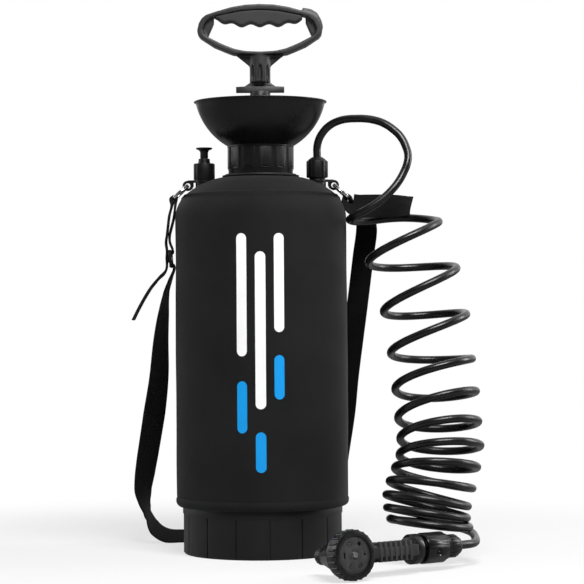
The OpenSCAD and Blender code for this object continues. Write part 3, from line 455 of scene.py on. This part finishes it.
# the handle and its rod are given a lighter colour than the nuts
finish_of = {**slot_of, "handle": "handle_plastic", "rod": "handle_plastic"}
steel, steel_tree, steel_shader, steel_where = start_material("spring_steel", (0.6, 0.6, 0.61), 0.25, 1.0)
drawn = noise(steel_tree, steel_where.outputs["Object"], 700.0, 2.0)
steel_tree.links.new(spread(steel_tree, drawn, 0.18, 0.34), steel_shader.inputs["Roughness"])
finishes["spring_steel"] = steel

# %% [markdown]
# ## Two cloths
# The sleeve is foam rubber with a fine knitted face, and the strap is woven webbing. Both
# patterns follow the cloth through a UV map that is in metres, so a rib or a stitch has its
# real size. A wave along the cloth times a wave across it gives small cushions, which is
# how both a knit and a weave look from close by. A little sheen gives the knit its soft
# light at grazing angles.


# %% Knit and webbing
def waves(tree, vector, along, across):
    """Small cushions with a pitch in metres along and across the cloth."""
    parts = tree.nodes.new("ShaderNodeSeparateXYZ")
    tree.links.new(vector, parts.inputs[0])
    crests = []
    for axis, pitch in (("X", along), ("Y", across)):
        turned_value = calculate(tree, "MULTIPLY", parts.outputs[axis], 2 * math.pi / pitch)
        crests.append(calculate(tree, "SINE", turned_value, 0.0))
    return calculate(tree, "MULTIPLY", crests[0], crests[1])


def cloth(name, color, along, across, height, sheen, fuzz_scale):
    """A cloth whose threads follow its UV map."""
    material, tree, shader, where = start_material(name, color, 0.85, specular=0.2)
    shader.inputs["Sheen Weight"].default_value = sheen
    shader.inputs["Sheen Roughness"].default_value = 0.45
    shader.inputs["Sheen Tint"].default_value = (0.6, 0.6, 0.62, 1)
    worn = noise(tree, where.outputs["Object"], 14.0)
    tint(tree, shader, spread(tree, worn, 0.0, 1.0), shade(color, 0.8), shade(color, 1.3))
    bump(tree, shader, waves(tree, where.outputs["UV"], along, across), height)
    bump(tree, shader, noise(tree, where.outputs["Object"], fuzz_scale, 4.0), height)
    return material


finishes["sleeve_fabric"] = cloth("sleeve_fabric", (0.008, 0.008, 0.0084), 1.1 * mm, 0.8 * mm, 0.00006,
                                  0.08, 1500.0)
finishes["webbing"] = cloth("webbing", (0.004, 0.004, 0.0042), 2.4 * mm, 1.7 * mm, 0.00018, 0.04, 2500.0)
finishes["thread"] = cloth("thread", (0.002, 0.002, 0.002), 1.0 * mm, 1.0 * mm, 0.00003, 0.1, 2500.0)


def printed(name, color):
    """Flat ink on cloth: the face of a heat-pressed film."""
    material, tree, shader, where = start_material(name, color, 0.5, specular=0.3)
    worn = noise(tree, where.outputs["Object"], 60.0)
    tint(tree, shader, spread(tree, worn, 0.0, 1.0), shade(color, 0.96), color)
    bump(tree, shader, noise(tree, where.outputs["Object"], 900.0, 3.0), 0.00003)
    return material


finishes["white_film"] = printed("white_film", (0.95, 0.95, 0.95))
finishes["blue_film"] = printed("blue_film", (0.0, 0.32, 0.80))


def finish_with(piece, finish):
    """Gives a piece a finish."""
    piece.data.materials.clear()
    piece.data.materials.append(finishes[finish])


for node_name, node in nodes.items():
    finish_with(node, finish_of[node_name])
finish_with(hose, "hose_pu")
print("finishes:", sorted(finishes))

# %% [markdown]
# ## The sleeve
# The real sleeve is a sewn tube of foam-backed knit, pulled over the bottle: a straight
# body, a rounded shoulder with a raised flat seam round it, a hole for the neck and two
# for the fittings, and a piped hem that turns in over the foot. It is a round form, so a
# circle is extruded from ring to ring, out and over the shoulder and back down the inside,
# and its two ends are bridged. Cloth is never quite even, so a soft cloud pattern moves
# the surface in and out by a few tenths of a millimetre.


# %% Helpers for turned shapes
def apply_modifier(piece, name, kind, **settings):
    """Adds a modifier and applies it at once."""
    modifier = piece.modifiers.new(name, kind)
    for key, value in settings.items():
        setattr(modifier, key, value)
    select_only(piece)
    bpy.ops.object.modifier_apply(modifier=name)


def turned(name, rings, sides):
    """A closed turned shell: a circle is extruded through rings of a radius and a height."""
    radius, height = rings[0]
    bpy.ops.object.select_all(action="DESELECT")
    bpy.ops.mesh.primitive_circle_add(vertices=sides, radius=radius, location=(0, 0, height))
    shape = bpy.context.object
    shape.name = name
    bpy.ops.object.mode_set(mode="EDIT")
    for next_radius, next_height in rings[1:]:
        bpy.ops.mesh.extrude_region_move(TRANSFORM_OT_translate={"value": (0, 0, next_height - height)})
        widen = next_radius / radius
        bpy.ops.transform.resize(value=(widen, widen, 1), center_override=(0, 0, 0))
        radius, height = next_radius, next_height
    bpy.ops.mesh.select_all(action="DESELECT")
    bpy.ops.mesh.select_non_manifold()
    bpy.ops.mesh.bridge_edge_loops()
    bpy.ops.mesh.select_all(action="SELECT")
    bpy.ops.mesh.normals_make_consistent(inside=False)
    bpy.ops.object.mode_set(mode="OBJECT")
    bpy.ops.object.transform_apply(location=True, rotation=True, scale=True)
    return shape


def wrap_uv(piece, radius):
    """Lays a UV map in metres round a turned piece."""
    layer = piece.data.uv_layers.new(name="cloth")
    for face in piece.data.polygons:
        angles = []
        for corner in face.loop_indices:
            place = piece.data.vertices[piece.data.loops[corner].vertex_index].co
            angles.append((corner, math.atan2(place.y, place.x), place.z))
        widest = max(angle for _, angle, _ in angles)
        for corner, angle, height in angles:
            if widest - angle > math.pi:
                angle += 2 * math.pi
            layer.data[corner].uv = (angle * radius, height)


# %% The sleeve's outline
SLEEVE_R = 92.5
CORNER_R = 35
CORNER_Z = 360
CROWN_Z = 405
CROWN_X = 30
CLOTH_T = 2.6
NECK_HOLE_R = 41
SEAM_ANGLE = 41.5
SEAM_BAND = 5.2
HEM_TOP_Z = 66
corner_x = SLEEVE_R - CORNER_R
crown_rise = CROWN_Z - CORNER_Z
crown_r = ((corner_x - CROWN_X) ** 2 + crown_rise**2 - CORNER_R**2) / (2 * (crown_rise - CORNER_R))
crown_middle = CROWN_Z - crown_r
meet_angle = math.degrees(math.atan2(CORNER_Z - crown_middle, corner_x - CROWN_X))


def arc(middle, radius, start, end, steps):
    """Points along an arc, angles in degrees from the horizontal."""
    found = []
    for k in range(steps + 1):
        angle = math.radians(start + (end - start) * k / steps)
        found.append((middle[0] + radius * math.cos(angle), middle[1] + radius * math.sin(angle)))
    return found


def shoulder(inset, lift=0.0):
    """The shoulder from the sleeve's side to the neck hole, with a band raised round the seam."""
    corner, crown = (corner_x, CORNER_Z), (CROWN_X, crown_middle)
    small, large = CORNER_R - inset, crown_r - inset
    neck_angle = math.degrees(math.acos((NECK_HOLE_R - CROWN_X) / large))
    low, high = SEAM_ANGLE - SEAM_BAND, SEAM_ANGLE + SEAM_BAND
    return (arc(corner, small, 0, low - 1.2, 5) + arc(corner, small + lift, low, high, 4)
            + arc(corner, small, high + 1.2, meet_angle, 1)
            + arc(crown, large, meet_angle + 3, neck_angle, 7))


hem = [(87.2, 52.6), (86.8, 51.4), (87.6, 50.7), (90.2, 50.9), (92.3, 52.8), (93.3, 55.2), (93.4, 57.8),
       (93.0, 59.5), (92.3, 60.6), (92.3, 61.4), (92.6, 62.6)]
side_heights = list(range(HEM_TOP_Z, CORNER_Z - 4, 14))
outer_side = [(SLEEVE_R, z) for z in side_heights]
inner_side = [(SLEEVE_R - CLOTH_T, z) for z in reversed(side_heights)]
outline = hem + outer_side + shoulder(0, 0.5) + list(reversed(shoulder(CLOTH_T))) + inner_side
outline += [(SLEEVE_R - CLOTH_T, 59), (89.6, 56.2), (88.2, 54.2)]
print("rings in the sleeve:", len(outline))

# %% Turn the sleeve and let the cloth lie unevenly
SLEEVE_SIDES = 128
sleeve = turned("fabric_sleeve", [(r * mm, z * mm) for r, z in outline], SLEEVE_SIDES)
apply_modifier(sleeve, "smooth", "SUBSURF", levels=1, render_levels=1)
clouds = bpy.data.textures.new("uneven_cloth", "CLOUDS")
clouds.noise_scale = 0.085
clouds.noise_depth = 1
apply_modifier(sleeve, "uneven", "DISPLACE", texture=clouds, texture_coords="LOCAL", strength=1.5 * mm,
               mid_level=0.5)
FITTING_X = 61
FITTING_HOLE_R = 10.6
PUNCH_DEPTH = 60
for side in (-1, 1):
    bpy.ops.object.select_all(action="DESELECT")
    bpy.ops.mesh.primitive_cylinder_add(vertices=48, radius=FITTING_HOLE_R * mm, depth=PUNCH_DEPTH * mm,
                                        location=(side * FITTING_X * mm, 0, CROWN_Z * mm))
    punch = bpy.context.object
    apply_modifier(sleeve, "fitting_hole", "BOOLEAN", object=punch, operation="DIFFERENCE",
                   solver="EXACT")
    bpy.data.objects.remove(punch)
wrap_uv(sleeve, SLEEVE_R * mm)
select_only(sleeve)
bpy.ops.object.shade_smooth_by_angle(angle=math.radians(50))
finish_with(sleeve, "sleeve_fabric")
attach(sleeve, "tank")
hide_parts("sleeve")
print("sleeve faces:", len(sleeve.data.polygons))

# %% [markdown]
# ## Stitches on the sleeve
# The seam round the shoulder is sewn flat with a zigzag thread, and the cloth's two edges
# meet in a second seam down the back. A zigzag is a line whose points swing from side to
# side, so a loop works out the points, each is dropped onto the cloth, and a thin tube is
# drawn through them.

# %% Sew the seams
bpy.context.view_layer.update()


def on_sleeve(place, lift):
    """The nearest point of the sleeve's face, lifted off it."""
    found, point, normal, _ = sleeve.closest_point_on_mesh(place)
    return point + normal * lift


# the middle of a thread stands off the cloth by this part of the thread's radius
THREAD_LIFT = 0.4


def sew(name, places, thread_r):
    """A thread through places that are dropped onto the sleeve."""
    line = [on_sleeve(Vector(place), thread_r * THREAD_LIFT) for place in places]
    seam = tube_through(name, line, thread_r, rings=1, roundness=1)
    for knot in seam.data.splines[0].bezier_points:
        knot.handle_left_type = "VECTOR"
        knot.handle_right_type = "VECTOR"
    seam = tube_to_mesh(seam)
    finish_with(seam, "thread")
    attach(seam, "tank")
    return seam


RING_STITCHES = 294
RING_THREAD_R = 0.36
RING_SWING = SEAM_BAND - 1.0
ring_places = []
for k in range(RING_STITCHES + 1):
    place_angle = math.radians(SEAM_ANGLE + (RING_SWING if k % 2 else -RING_SWING))
    r = corner_x + CORNER_R * math.cos(place_angle)
    z = CORNER_Z + CORNER_R * math.sin(place_angle)
    around = 2 * math.pi * k / RING_STITCHES
    ring_places.append((r * math.cos(around) * mm, r * math.sin(around) * mm, z * mm))
sew("shoulder_seam", ring_places, RING_THREAD_R * mm)

BACK_PITCH = 2.0
BACK_SWING = 1.7
BACK_THREAD_R = 0.28
BACK_TOP_Z = CORNER_Z + 10
back_places = []
for k in range(int((BACK_TOP_Z - HEM_TOP_Z) / BACK_PITCH)):
    swing = BACK_SWING if k % 2 else -BACK_SWING
    back_places.append((swing * mm, (SLEEVE_R + 1) * mm, (HEM_TOP_Z + k * BACK_PITCH) * mm))
sew("back_seam", back_places, BACK_THREAD_R * mm)
print("stitches:", len(ring_places) + len(back_places))

# %% [markdown]
# ## A plain print
# The front of the sleeve carries a plain pattern in white and blue: long white streaks and
# short blue ones, like falling water. Each streak is a film pressed on the cloth, so a
# plane is stood up in front, its corners are rounded, it is cut into strips that can
# bend, and each of its points is dropped onto the cloth.

# %% Press the streaks on the cloth
STREAK_W = 11
FILM_T = 0.2
# a little less than half the width, so that the rounded corners don't meet
CORNER_ROUND = STREAK_W / 2 * 0.999
STRIP_W = 2
STRIP_H = 6
# middle, lower end, upper end and colour of each streak
streaks = [
    (-20, 213, 341, "white_film"), (0, 158, 322, "white_film"), (20, 238, 341, "white_film"),
    (-20, 133, 187, "blue_film"), (0, 92, 134, "blue_film"), (20, 168, 214, "blue_film"),
]
for number, (middle, low, high, film) in enumerate(streaks):
    half_way = (low + high) / 2
    bpy.ops.object.select_all(action="DESELECT")
    bpy.ops.mesh.primitive_plane_add(size=1, location=(middle * mm, -SLEEVE_R * mm, half_way * mm),
                                     rotation=(math.pi / 2, 0, 0))
    streak = bpy.context.object
    streak.name = "print_streak_" + str(number + 1)
    streak.scale = (STREAK_W * mm, (high - low) * mm, 1)
    bpy.ops.object.transform_apply(location=True, rotation=True, scale=True)
    bpy.ops.object.mode_set(mode="EDIT")
    bpy.ops.mesh.select_all(action="SELECT")
    bpy.ops.mesh.bevel(offset=CORNER_ROUND * mm, segments=12, affect="VERTICES")
    for cut in range(-2, 3):
        bpy.ops.mesh.select_all(action="SELECT")
        bpy.ops.mesh.bisect(plane_co=((middle + cut * STRIP_W) * mm, 0, 0), plane_no=(1, 0, 0))
    for cut in range(low + 4, high - 2, STRIP_H):
        bpy.ops.mesh.select_all(action="SELECT")
        bpy.ops.mesh.bisect(plane_co=(0, 0, cut * mm), plane_no=(0, 0, 1))
    bpy.ops.object.mode_set(mode="OBJECT")
    for point in streak.data.vertices:
        point.co = on_sleeve(point.co, FILM_T / 2 * mm)
    apply_modifier(streak, "film", "SOLIDIFY", thickness=FILM_T * mm, offset=0)
    bpy.ops.object.shade_smooth_by_angle(angle=math.radians(40))
    finish_with(streak, film)
    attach(streak, "tank")
print("streaks:", len(streaks))

# %% [markdown]
# ## The strap
# The strap is one length of webbing. On the left it runs through a slider, up through a
# split ring and back down to the slider, where its cut end stands off. It goes down behind
# the bottle, lies on the floor behind the foot, and comes up to the right ring, where the
# other cut end stands out sideways. Flat webbing is a row of cross-sections
# along a curve, joined into a sheet and given its thickness. Where it passes a ring it is
# gathered narrower and cups round the wire. The strap is in two halves that meet behind
# the foot, and each half cups round its own ring.

# %% Lay out the webbing
STRAP_W = 25
STRAP_T = 1.6
RING_R = 11.4
ROWS_PER_MM = 0.4
COLUMNS = 10
# middle of the right ring, and the lowest place on its wire, where the webbing hangs
ring_middle = Vector((87.25, 0, 388.07))
ring_low = Vector((95.7, 0, 380.4))
# how near that place the webbing starts to cup, how soon it is full, and how far out it goes
CUP_NEAR = 16.0
CUP_HASTE = 1.5
CUP_REACH = 9.0


def flow(points):
    """Close rows of points on a smooth curve through a list of vectors."""
    rows = []
    last = len(points) - 1
    heading = [(points[min(i + 1, last)] - points[max(i - 1, 0)]).normalized() for i in range(last + 1)]
    for i in range(last):
        start, end = points[i], points[i + 1]
        length = (end - start).length
        steps = max(2, int(length * ROWS_PER_MM))
        for k in range(steps):
            f = k / steps
            h1, h2 = 2 * f**3 - 3 * f**2 + 1, f**3 - 2 * f**2 + f
            h3, h4 = -2 * f**3 + 3 * f**2, f**3 - f**2
            place = h1 * start + h2 * length * heading[i] + h3 * end + h4 * length * heading[i + 1]
            rows.append((place, i + f))
    rows.append((points[last], float(last)))
    return rows


def blended(values, place):
    """A value part of the way between two neighbours in a list."""
    i = min(int(place), len(values) - 2)
    return values[i] + (values[i + 1] - values[i]) * (place - i)


def webbing(name, stations, side, slants):
    """A strap through stations: a point, the way across, and its width there if it is gathered."""
    points = [Vector(s[0:3]) for s in stations]
    ways = [Vector(s[3:6]).normalized() for s in stations]
    widths = [s[6] if len(s) > 6 else STRAP_W for s in stations]
    rows = flow(points)
    middle = Vector((side * ring_middle.x, 0, ring_middle.z))
    low = Vector((side * ring_low.x, 0, ring_low.z))
    places, corners = [], []
    run = 0.0
    for i, (place, at) in enumerate(rows):
        ahead = rows[min(i + 1, len(rows) - 1)][0] - rows[max(i - 1, 0)][0]
        ahead.normalize()
        across = blended(ways, at)
        across = (across - ahead * across.dot(ahead)).normalized()
        if i:
            run += (place - rows[i - 1][0]).length
        near = max(0.0, 1.0 - (place - low).length / CUP_NEAR)
        slant = slants[0] if i == 0 else slants[1] if i == len(rows) - 1 else 0.0
        for column in range(COLUMNS + 1):
            f = 2 * column / COLUMNS - 1
            reach = f * blended(widths, at) / 2
            cup = RING_R - math.sqrt(max(0.0, RING_R**2 - min(abs(reach), CUP_REACH) ** 2))
            toward = (middle - place).normalized() * cup * min(1.0, near * CUP_HASTE)
            places.append((place + across * reach + toward + ahead * slant * f) * mm)
            corners.append((run * mm, reach * mm))
    faces = []
    for i in range(len(rows) - 1):
        for column in range(COLUMNS):
            a = i * (COLUMNS + 1) + column
            faces.append((a, a + 1, a + COLUMNS + 2, a + COLUMNS + 1))
    data = bpy.data.meshes.new(name)
    data.from_pydata([tuple(p) for p in places], [], faces)
    layer = data.uv_layers.new(name="cloth")
    for loop in data.loops:
        layer.data[loop.index].uv = corners[loop.vertex_index]
    piece = bpy.data.objects.new(name, data)
    bpy.context.scene.collection.objects.link(piece)
    apply_modifier(piece, "thickness", "SOLIDIFY", thickness=STRAP_T * mm, offset=0)
    apply_modifier(piece, "edges", "BEVEL", width=0.35 * mm, segments=2, limit_method="ANGLE",
                   angle_limit=math.radians(50))
    bpy.ops.object.shade_smooth_by_angle(angle=math.radians(45))
    finish_with(piece, "webbing")
    print(name, "is", round(run), "mm long")
    return piece


# %% The two halves of the strap
behind_foot = [(-89, 105, 7.0, 0.1, 0.88, 0.42), (-60, 112, 4.6, 0.1, 0.95, 0.28), (0, 116, 1.6, 0, 1, 0)]
left_stations = [
    (-138, -8, 251, 0.03, 1, 0), (-130, -6, 267, 0.03, 1, 0), (-120, -3, 284, 0.03, 1, 0),
    (-111, 2, 295.5, 0.02, 1, 0), (-104.5, 6.5, 303, 0, 1, 0), (-102.4, 8.5, 310, 0, 1, 0),
    (-102.6, 9, 317, 0, 1, 0), (-102.2, 8.8, 325, 0, 1, 0), (-102.9, 6.5, 335, 0, 1, 0),
    (-101.6, 4, 344, 0, 1, 0), (-99.3, 1.2, 362, 0, 1, 0, 24), (-97.1, 0.2, 374.5, 0, 1, 0, 19),
    (-98, 0, 378.6, 0, 1, 0, 17), (-98.4, 0, 381, 0, 1, 0, 16), (-97.6, 0, 382.9, 0, 1, 0, 16),
    (-95.7, 0, 383.6, 0, 1, 0, 16), (-93.5, 0, 382.6, 0, 1, 0, 16), (-92.7, 0, 380.2, 0, 1, 0, 17),
    (-93.1, 0.3, 375, 0, 1, 0, 20), (-94.1, 2, 362, 0, 1, 0, 24), (-96.8, 4, 351, 0, 1, 0),
    (-98.9, 5.5, 342, 0, 1, 0), (-98.6, 7.5, 334, 0, 1, 0),
    (-96.1, 9, 327.2, 0, 1, 0), (-95.9, 9, 323.8, 0, 1, 0), (-98.3, 9, 321.6, 0, 1, 0),
    (-100.8, 9, 319.4, 0, 1, 0), (-100.4, 9, 314.2, 0, 1, 0), (-97.7, 9, 312.4, 0, 1, 0),
    (-95, 9, 310.6, 0, 1, 0), (-94.7, 9.3, 306, 0, 1, 0), (-98.6, 12, 296, 0.05, 1, 0),
    (-104, 18, 280, 0.15, 1, 0), (-108, 25, 254, 0.4, 0.9, 0), (-111, 33, 228, 0.55, 0.8, 0),
    (-114, 45, 188, 0.8, 0.6, 0.1), (-120, 58, 148, 0.95, 0.3, 0.1), (-129, 73, 98, 0.9, 0.4, 0.1),
    (-132, 79, 81, 0.86, 0.5, 0.1), (-134.4, 83, 63.8, 0.72, 0.7, 0), (-133.9, 86, 55, 0.58, 0.8, 0),
    (-132.8, 88, 46.5, 0.43, 0.9, 0), (-131, 90, 39.7, 0.28, 0.96, 0), (-129.5, 93, 32, 0.17, 0.98, 0.05),
    (-123, 97, 17.5, 0.35, 0.85, 0.3), (-110.5, 101, 8.6, 0.25, 0.85, 0.45),
] + behind_foot
right_stations = [
    (0, 116, 1.6, 0, 1, 0), (50, 112, 1.6, -0.2, 1, 0), (66, 110, 6, -0.5, 0.9, 0),
    (74, 104, 24, -0.8, 0.7, 0), (79, 95, 56, -0.87, 0.5, 0), (83, 85, 93, -0.87, 0.48, 0),
    (91, 72, 147, -0.87, 0.48, 0), (95, 63, 188, -0.87, 0.48, 0), (100, 55, 228, -0.87, 0.48, 0),
    (105, 47, 267, -0.87, 0.48, 0), (111.5, 37, 320, -0.87, 0.48, 0), (115, 29, 348, -0.85, 0.5, 0),
    (113, 22, 362, -0.75, 0.65, 0), (107, 14, 371, -0.5, 0.85, 0, 22), (102, 6, 376, -0.25, 1, 0, 18),
    (98.8, 1.5, 379.8, 0, 1, 0, 16),
    (97.6, 0.3, 382.8, 0, 1, 0, 16), (95.7, 0, 383.6, 0, 1, 0, 16), (93.5, 0, 382.6, 0, 1, 0, 16),
    (92.8, -0.4, 380, 0, 1, 0, 16), (93.6, -2, 376.6, 0.1, 1, 0.1, 17), (97, -5, 373, 0.2, 0.7, 0.6, 20),
    (101, -6.8, 372.2, 0.1, 0.3, 1), (110, -7.4, 372.2, 0, 0.1, 1), (128, -7.4, 372.2, 0, 0, 1),
    (146, -7, 372.2, 0, 0.3, 0.95), (162, -6, 372.2, 0, 0.6, 0.8),
]
strap_left = webbing("strap_left", left_stations, -1, (1.5, 0.0))
strap_right = webbing("strap_right", right_stations, 1, (0.0, 3.4))
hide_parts("strap")
for piece, side, ring_body in ((strap_left, -1, "ring_left"), (strap_right, 1, "ring_right")):
    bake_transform(piece)

# %% [markdown]
# ## Rounded edges on the moulded pieces
# CAD edges are perfectly sharp, and real moulded edges never are: the thin line of light
# along a rounded edge is what makes plastic look like plastic. So each moulded piece that
# shows is copied, its loose triangles are merged, flat faces are joined again, and a small
# bevel rounds whatever is sharper than a limit. The handle and its grip are round all over,
# so their skin is laid anew in small cells and smoothed instead. Each copy then stands for
# the CAD piece.

# %% Round the edges
MERGE_GAP = 0.000005
EDGE_LIMIT = 38


def merged_copy(node_name, flat_angle):
    """A copy of a CAD piece in one merged mesh, which stands for it."""
    piece = bpy.data.objects.new(node_name + "_finished", nodes[node_name].data.copy())
    bpy.context.scene.collection.objects.link(piece)
    select_only(piece)
    bpy.ops.object.mode_set(mode="EDIT")
    bpy.ops.mesh.select_all(action="SELECT")
    bpy.ops.mesh.remove_doubles(threshold=MERGE_GAP)
    bpy.ops.mesh.dissolve_limited(angle_limit=math.radians(flat_angle))
    bpy.ops.object.mode_set(mode="OBJECT")
    finish_with(piece, finish_of[node_name])
    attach(piece, body_of[node_name])
    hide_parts(node_name)
    return piece


def softened(node_name, radius):
    """A piece whose sharp edges are rounded with a bevel."""
    piece = merged_copy(node_name, 0.4)
    apply_modifier(piece, "edges", "BEVEL", width=radius * mm, segments=2, limit_method="ANGLE",
                   angle_limit=math.radians(EDGE_LIMIT), use_clamp_overlap=True)
    bpy.ops.object.shade_smooth_by_angle(angle=math.radians(34))
    return piece


def melted(node_name, cell, rounds):
    """A piece that is rounded all over: its skin is laid anew in small cells and smoothed."""
    piece = merged_copy(node_name, 0.1)
    apply_modifier(piece, "new_skin", "REMESH", mode="VOXEL", voxel_size=cell * mm)
    apply_modifier(piece, "rounded", "SMOOTH", factor=0.5, iterations=rounds)
    bpy.ops.object.shade_smooth()
    return piece


SKIN_CELL = 0.9
SKIN_ROUNDS = 8
for node_name in ("handle", "handle_grip"):
    piece = melted(node_name, SKIN_CELL, SKIN_ROUNDS)
    print(node_name, len(nodes[node_name].data.polygons), "->", len(piece.data.polygons))

edge_radius = {
    "neck_nut": 0.4, "foot": 0.4, "strap_slider": 0.5,
    "strap_lug_left": 0.7, "strap_lug_right": 0.7, "rod": 0.4, "valve_nut": 0.4, "outlet_nut": 0.4,
    "funnel": 0.2, "hose_nut": 0.3, "coupling_collar": 0.4, "gun_body": 0.3, "trigger": 0.5,
    "dial": 0.3, "dial_face": 0.2, "rear_knob": 0.3, "valve_knob": 0.3, "pump_cap": 0.4,
    "neck_washer": 0.3,
}
for node_name, radius in edge_radius.items():
    piece = softened(node_name, radius)
    print(node_name, len(nodes[node_name].data.polygons), "->", len(piece.data.polygons))

# %% [markdown]
# ## The springs
# A spring is pressed together when its valve, collar or trigger is moved. One end stays where
# it is, and the other goes with the moving piece. So each spring is copied into one merged mesh,
# which stands for it, and the way its moving piece pushes is worked out; the copy keeps its length.

# %% Copy the springs
joint_of = {joint["name"]: joint for joint in record["behaviour"]["joints"]}


def squeezed(node_name, joint_name):
    """A copy of a spring, which stands for it; the way its joint pushes is worked out but not used."""
    piece = merged_copy(node_name, 0.05)
    joint = joint_of[joint_name]
    push = Vector(joint["axis"])
    if joint["type"] == "slide":
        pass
    else:
        low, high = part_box(node_name)
        push = push.cross((Vector(low) + Vector(high)) / 2 - Vector(joint["pos_m"]))
    push.normalize()
    bpy.ops.object.shade_smooth_by_angle(angle=math.radians(60))
    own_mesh(piece)


squeezed("valve_spring", "valve_pull")
squeezed("collar_spring", "collar_slide")
squeezed("trigger_spring", "trigger_squeeze")
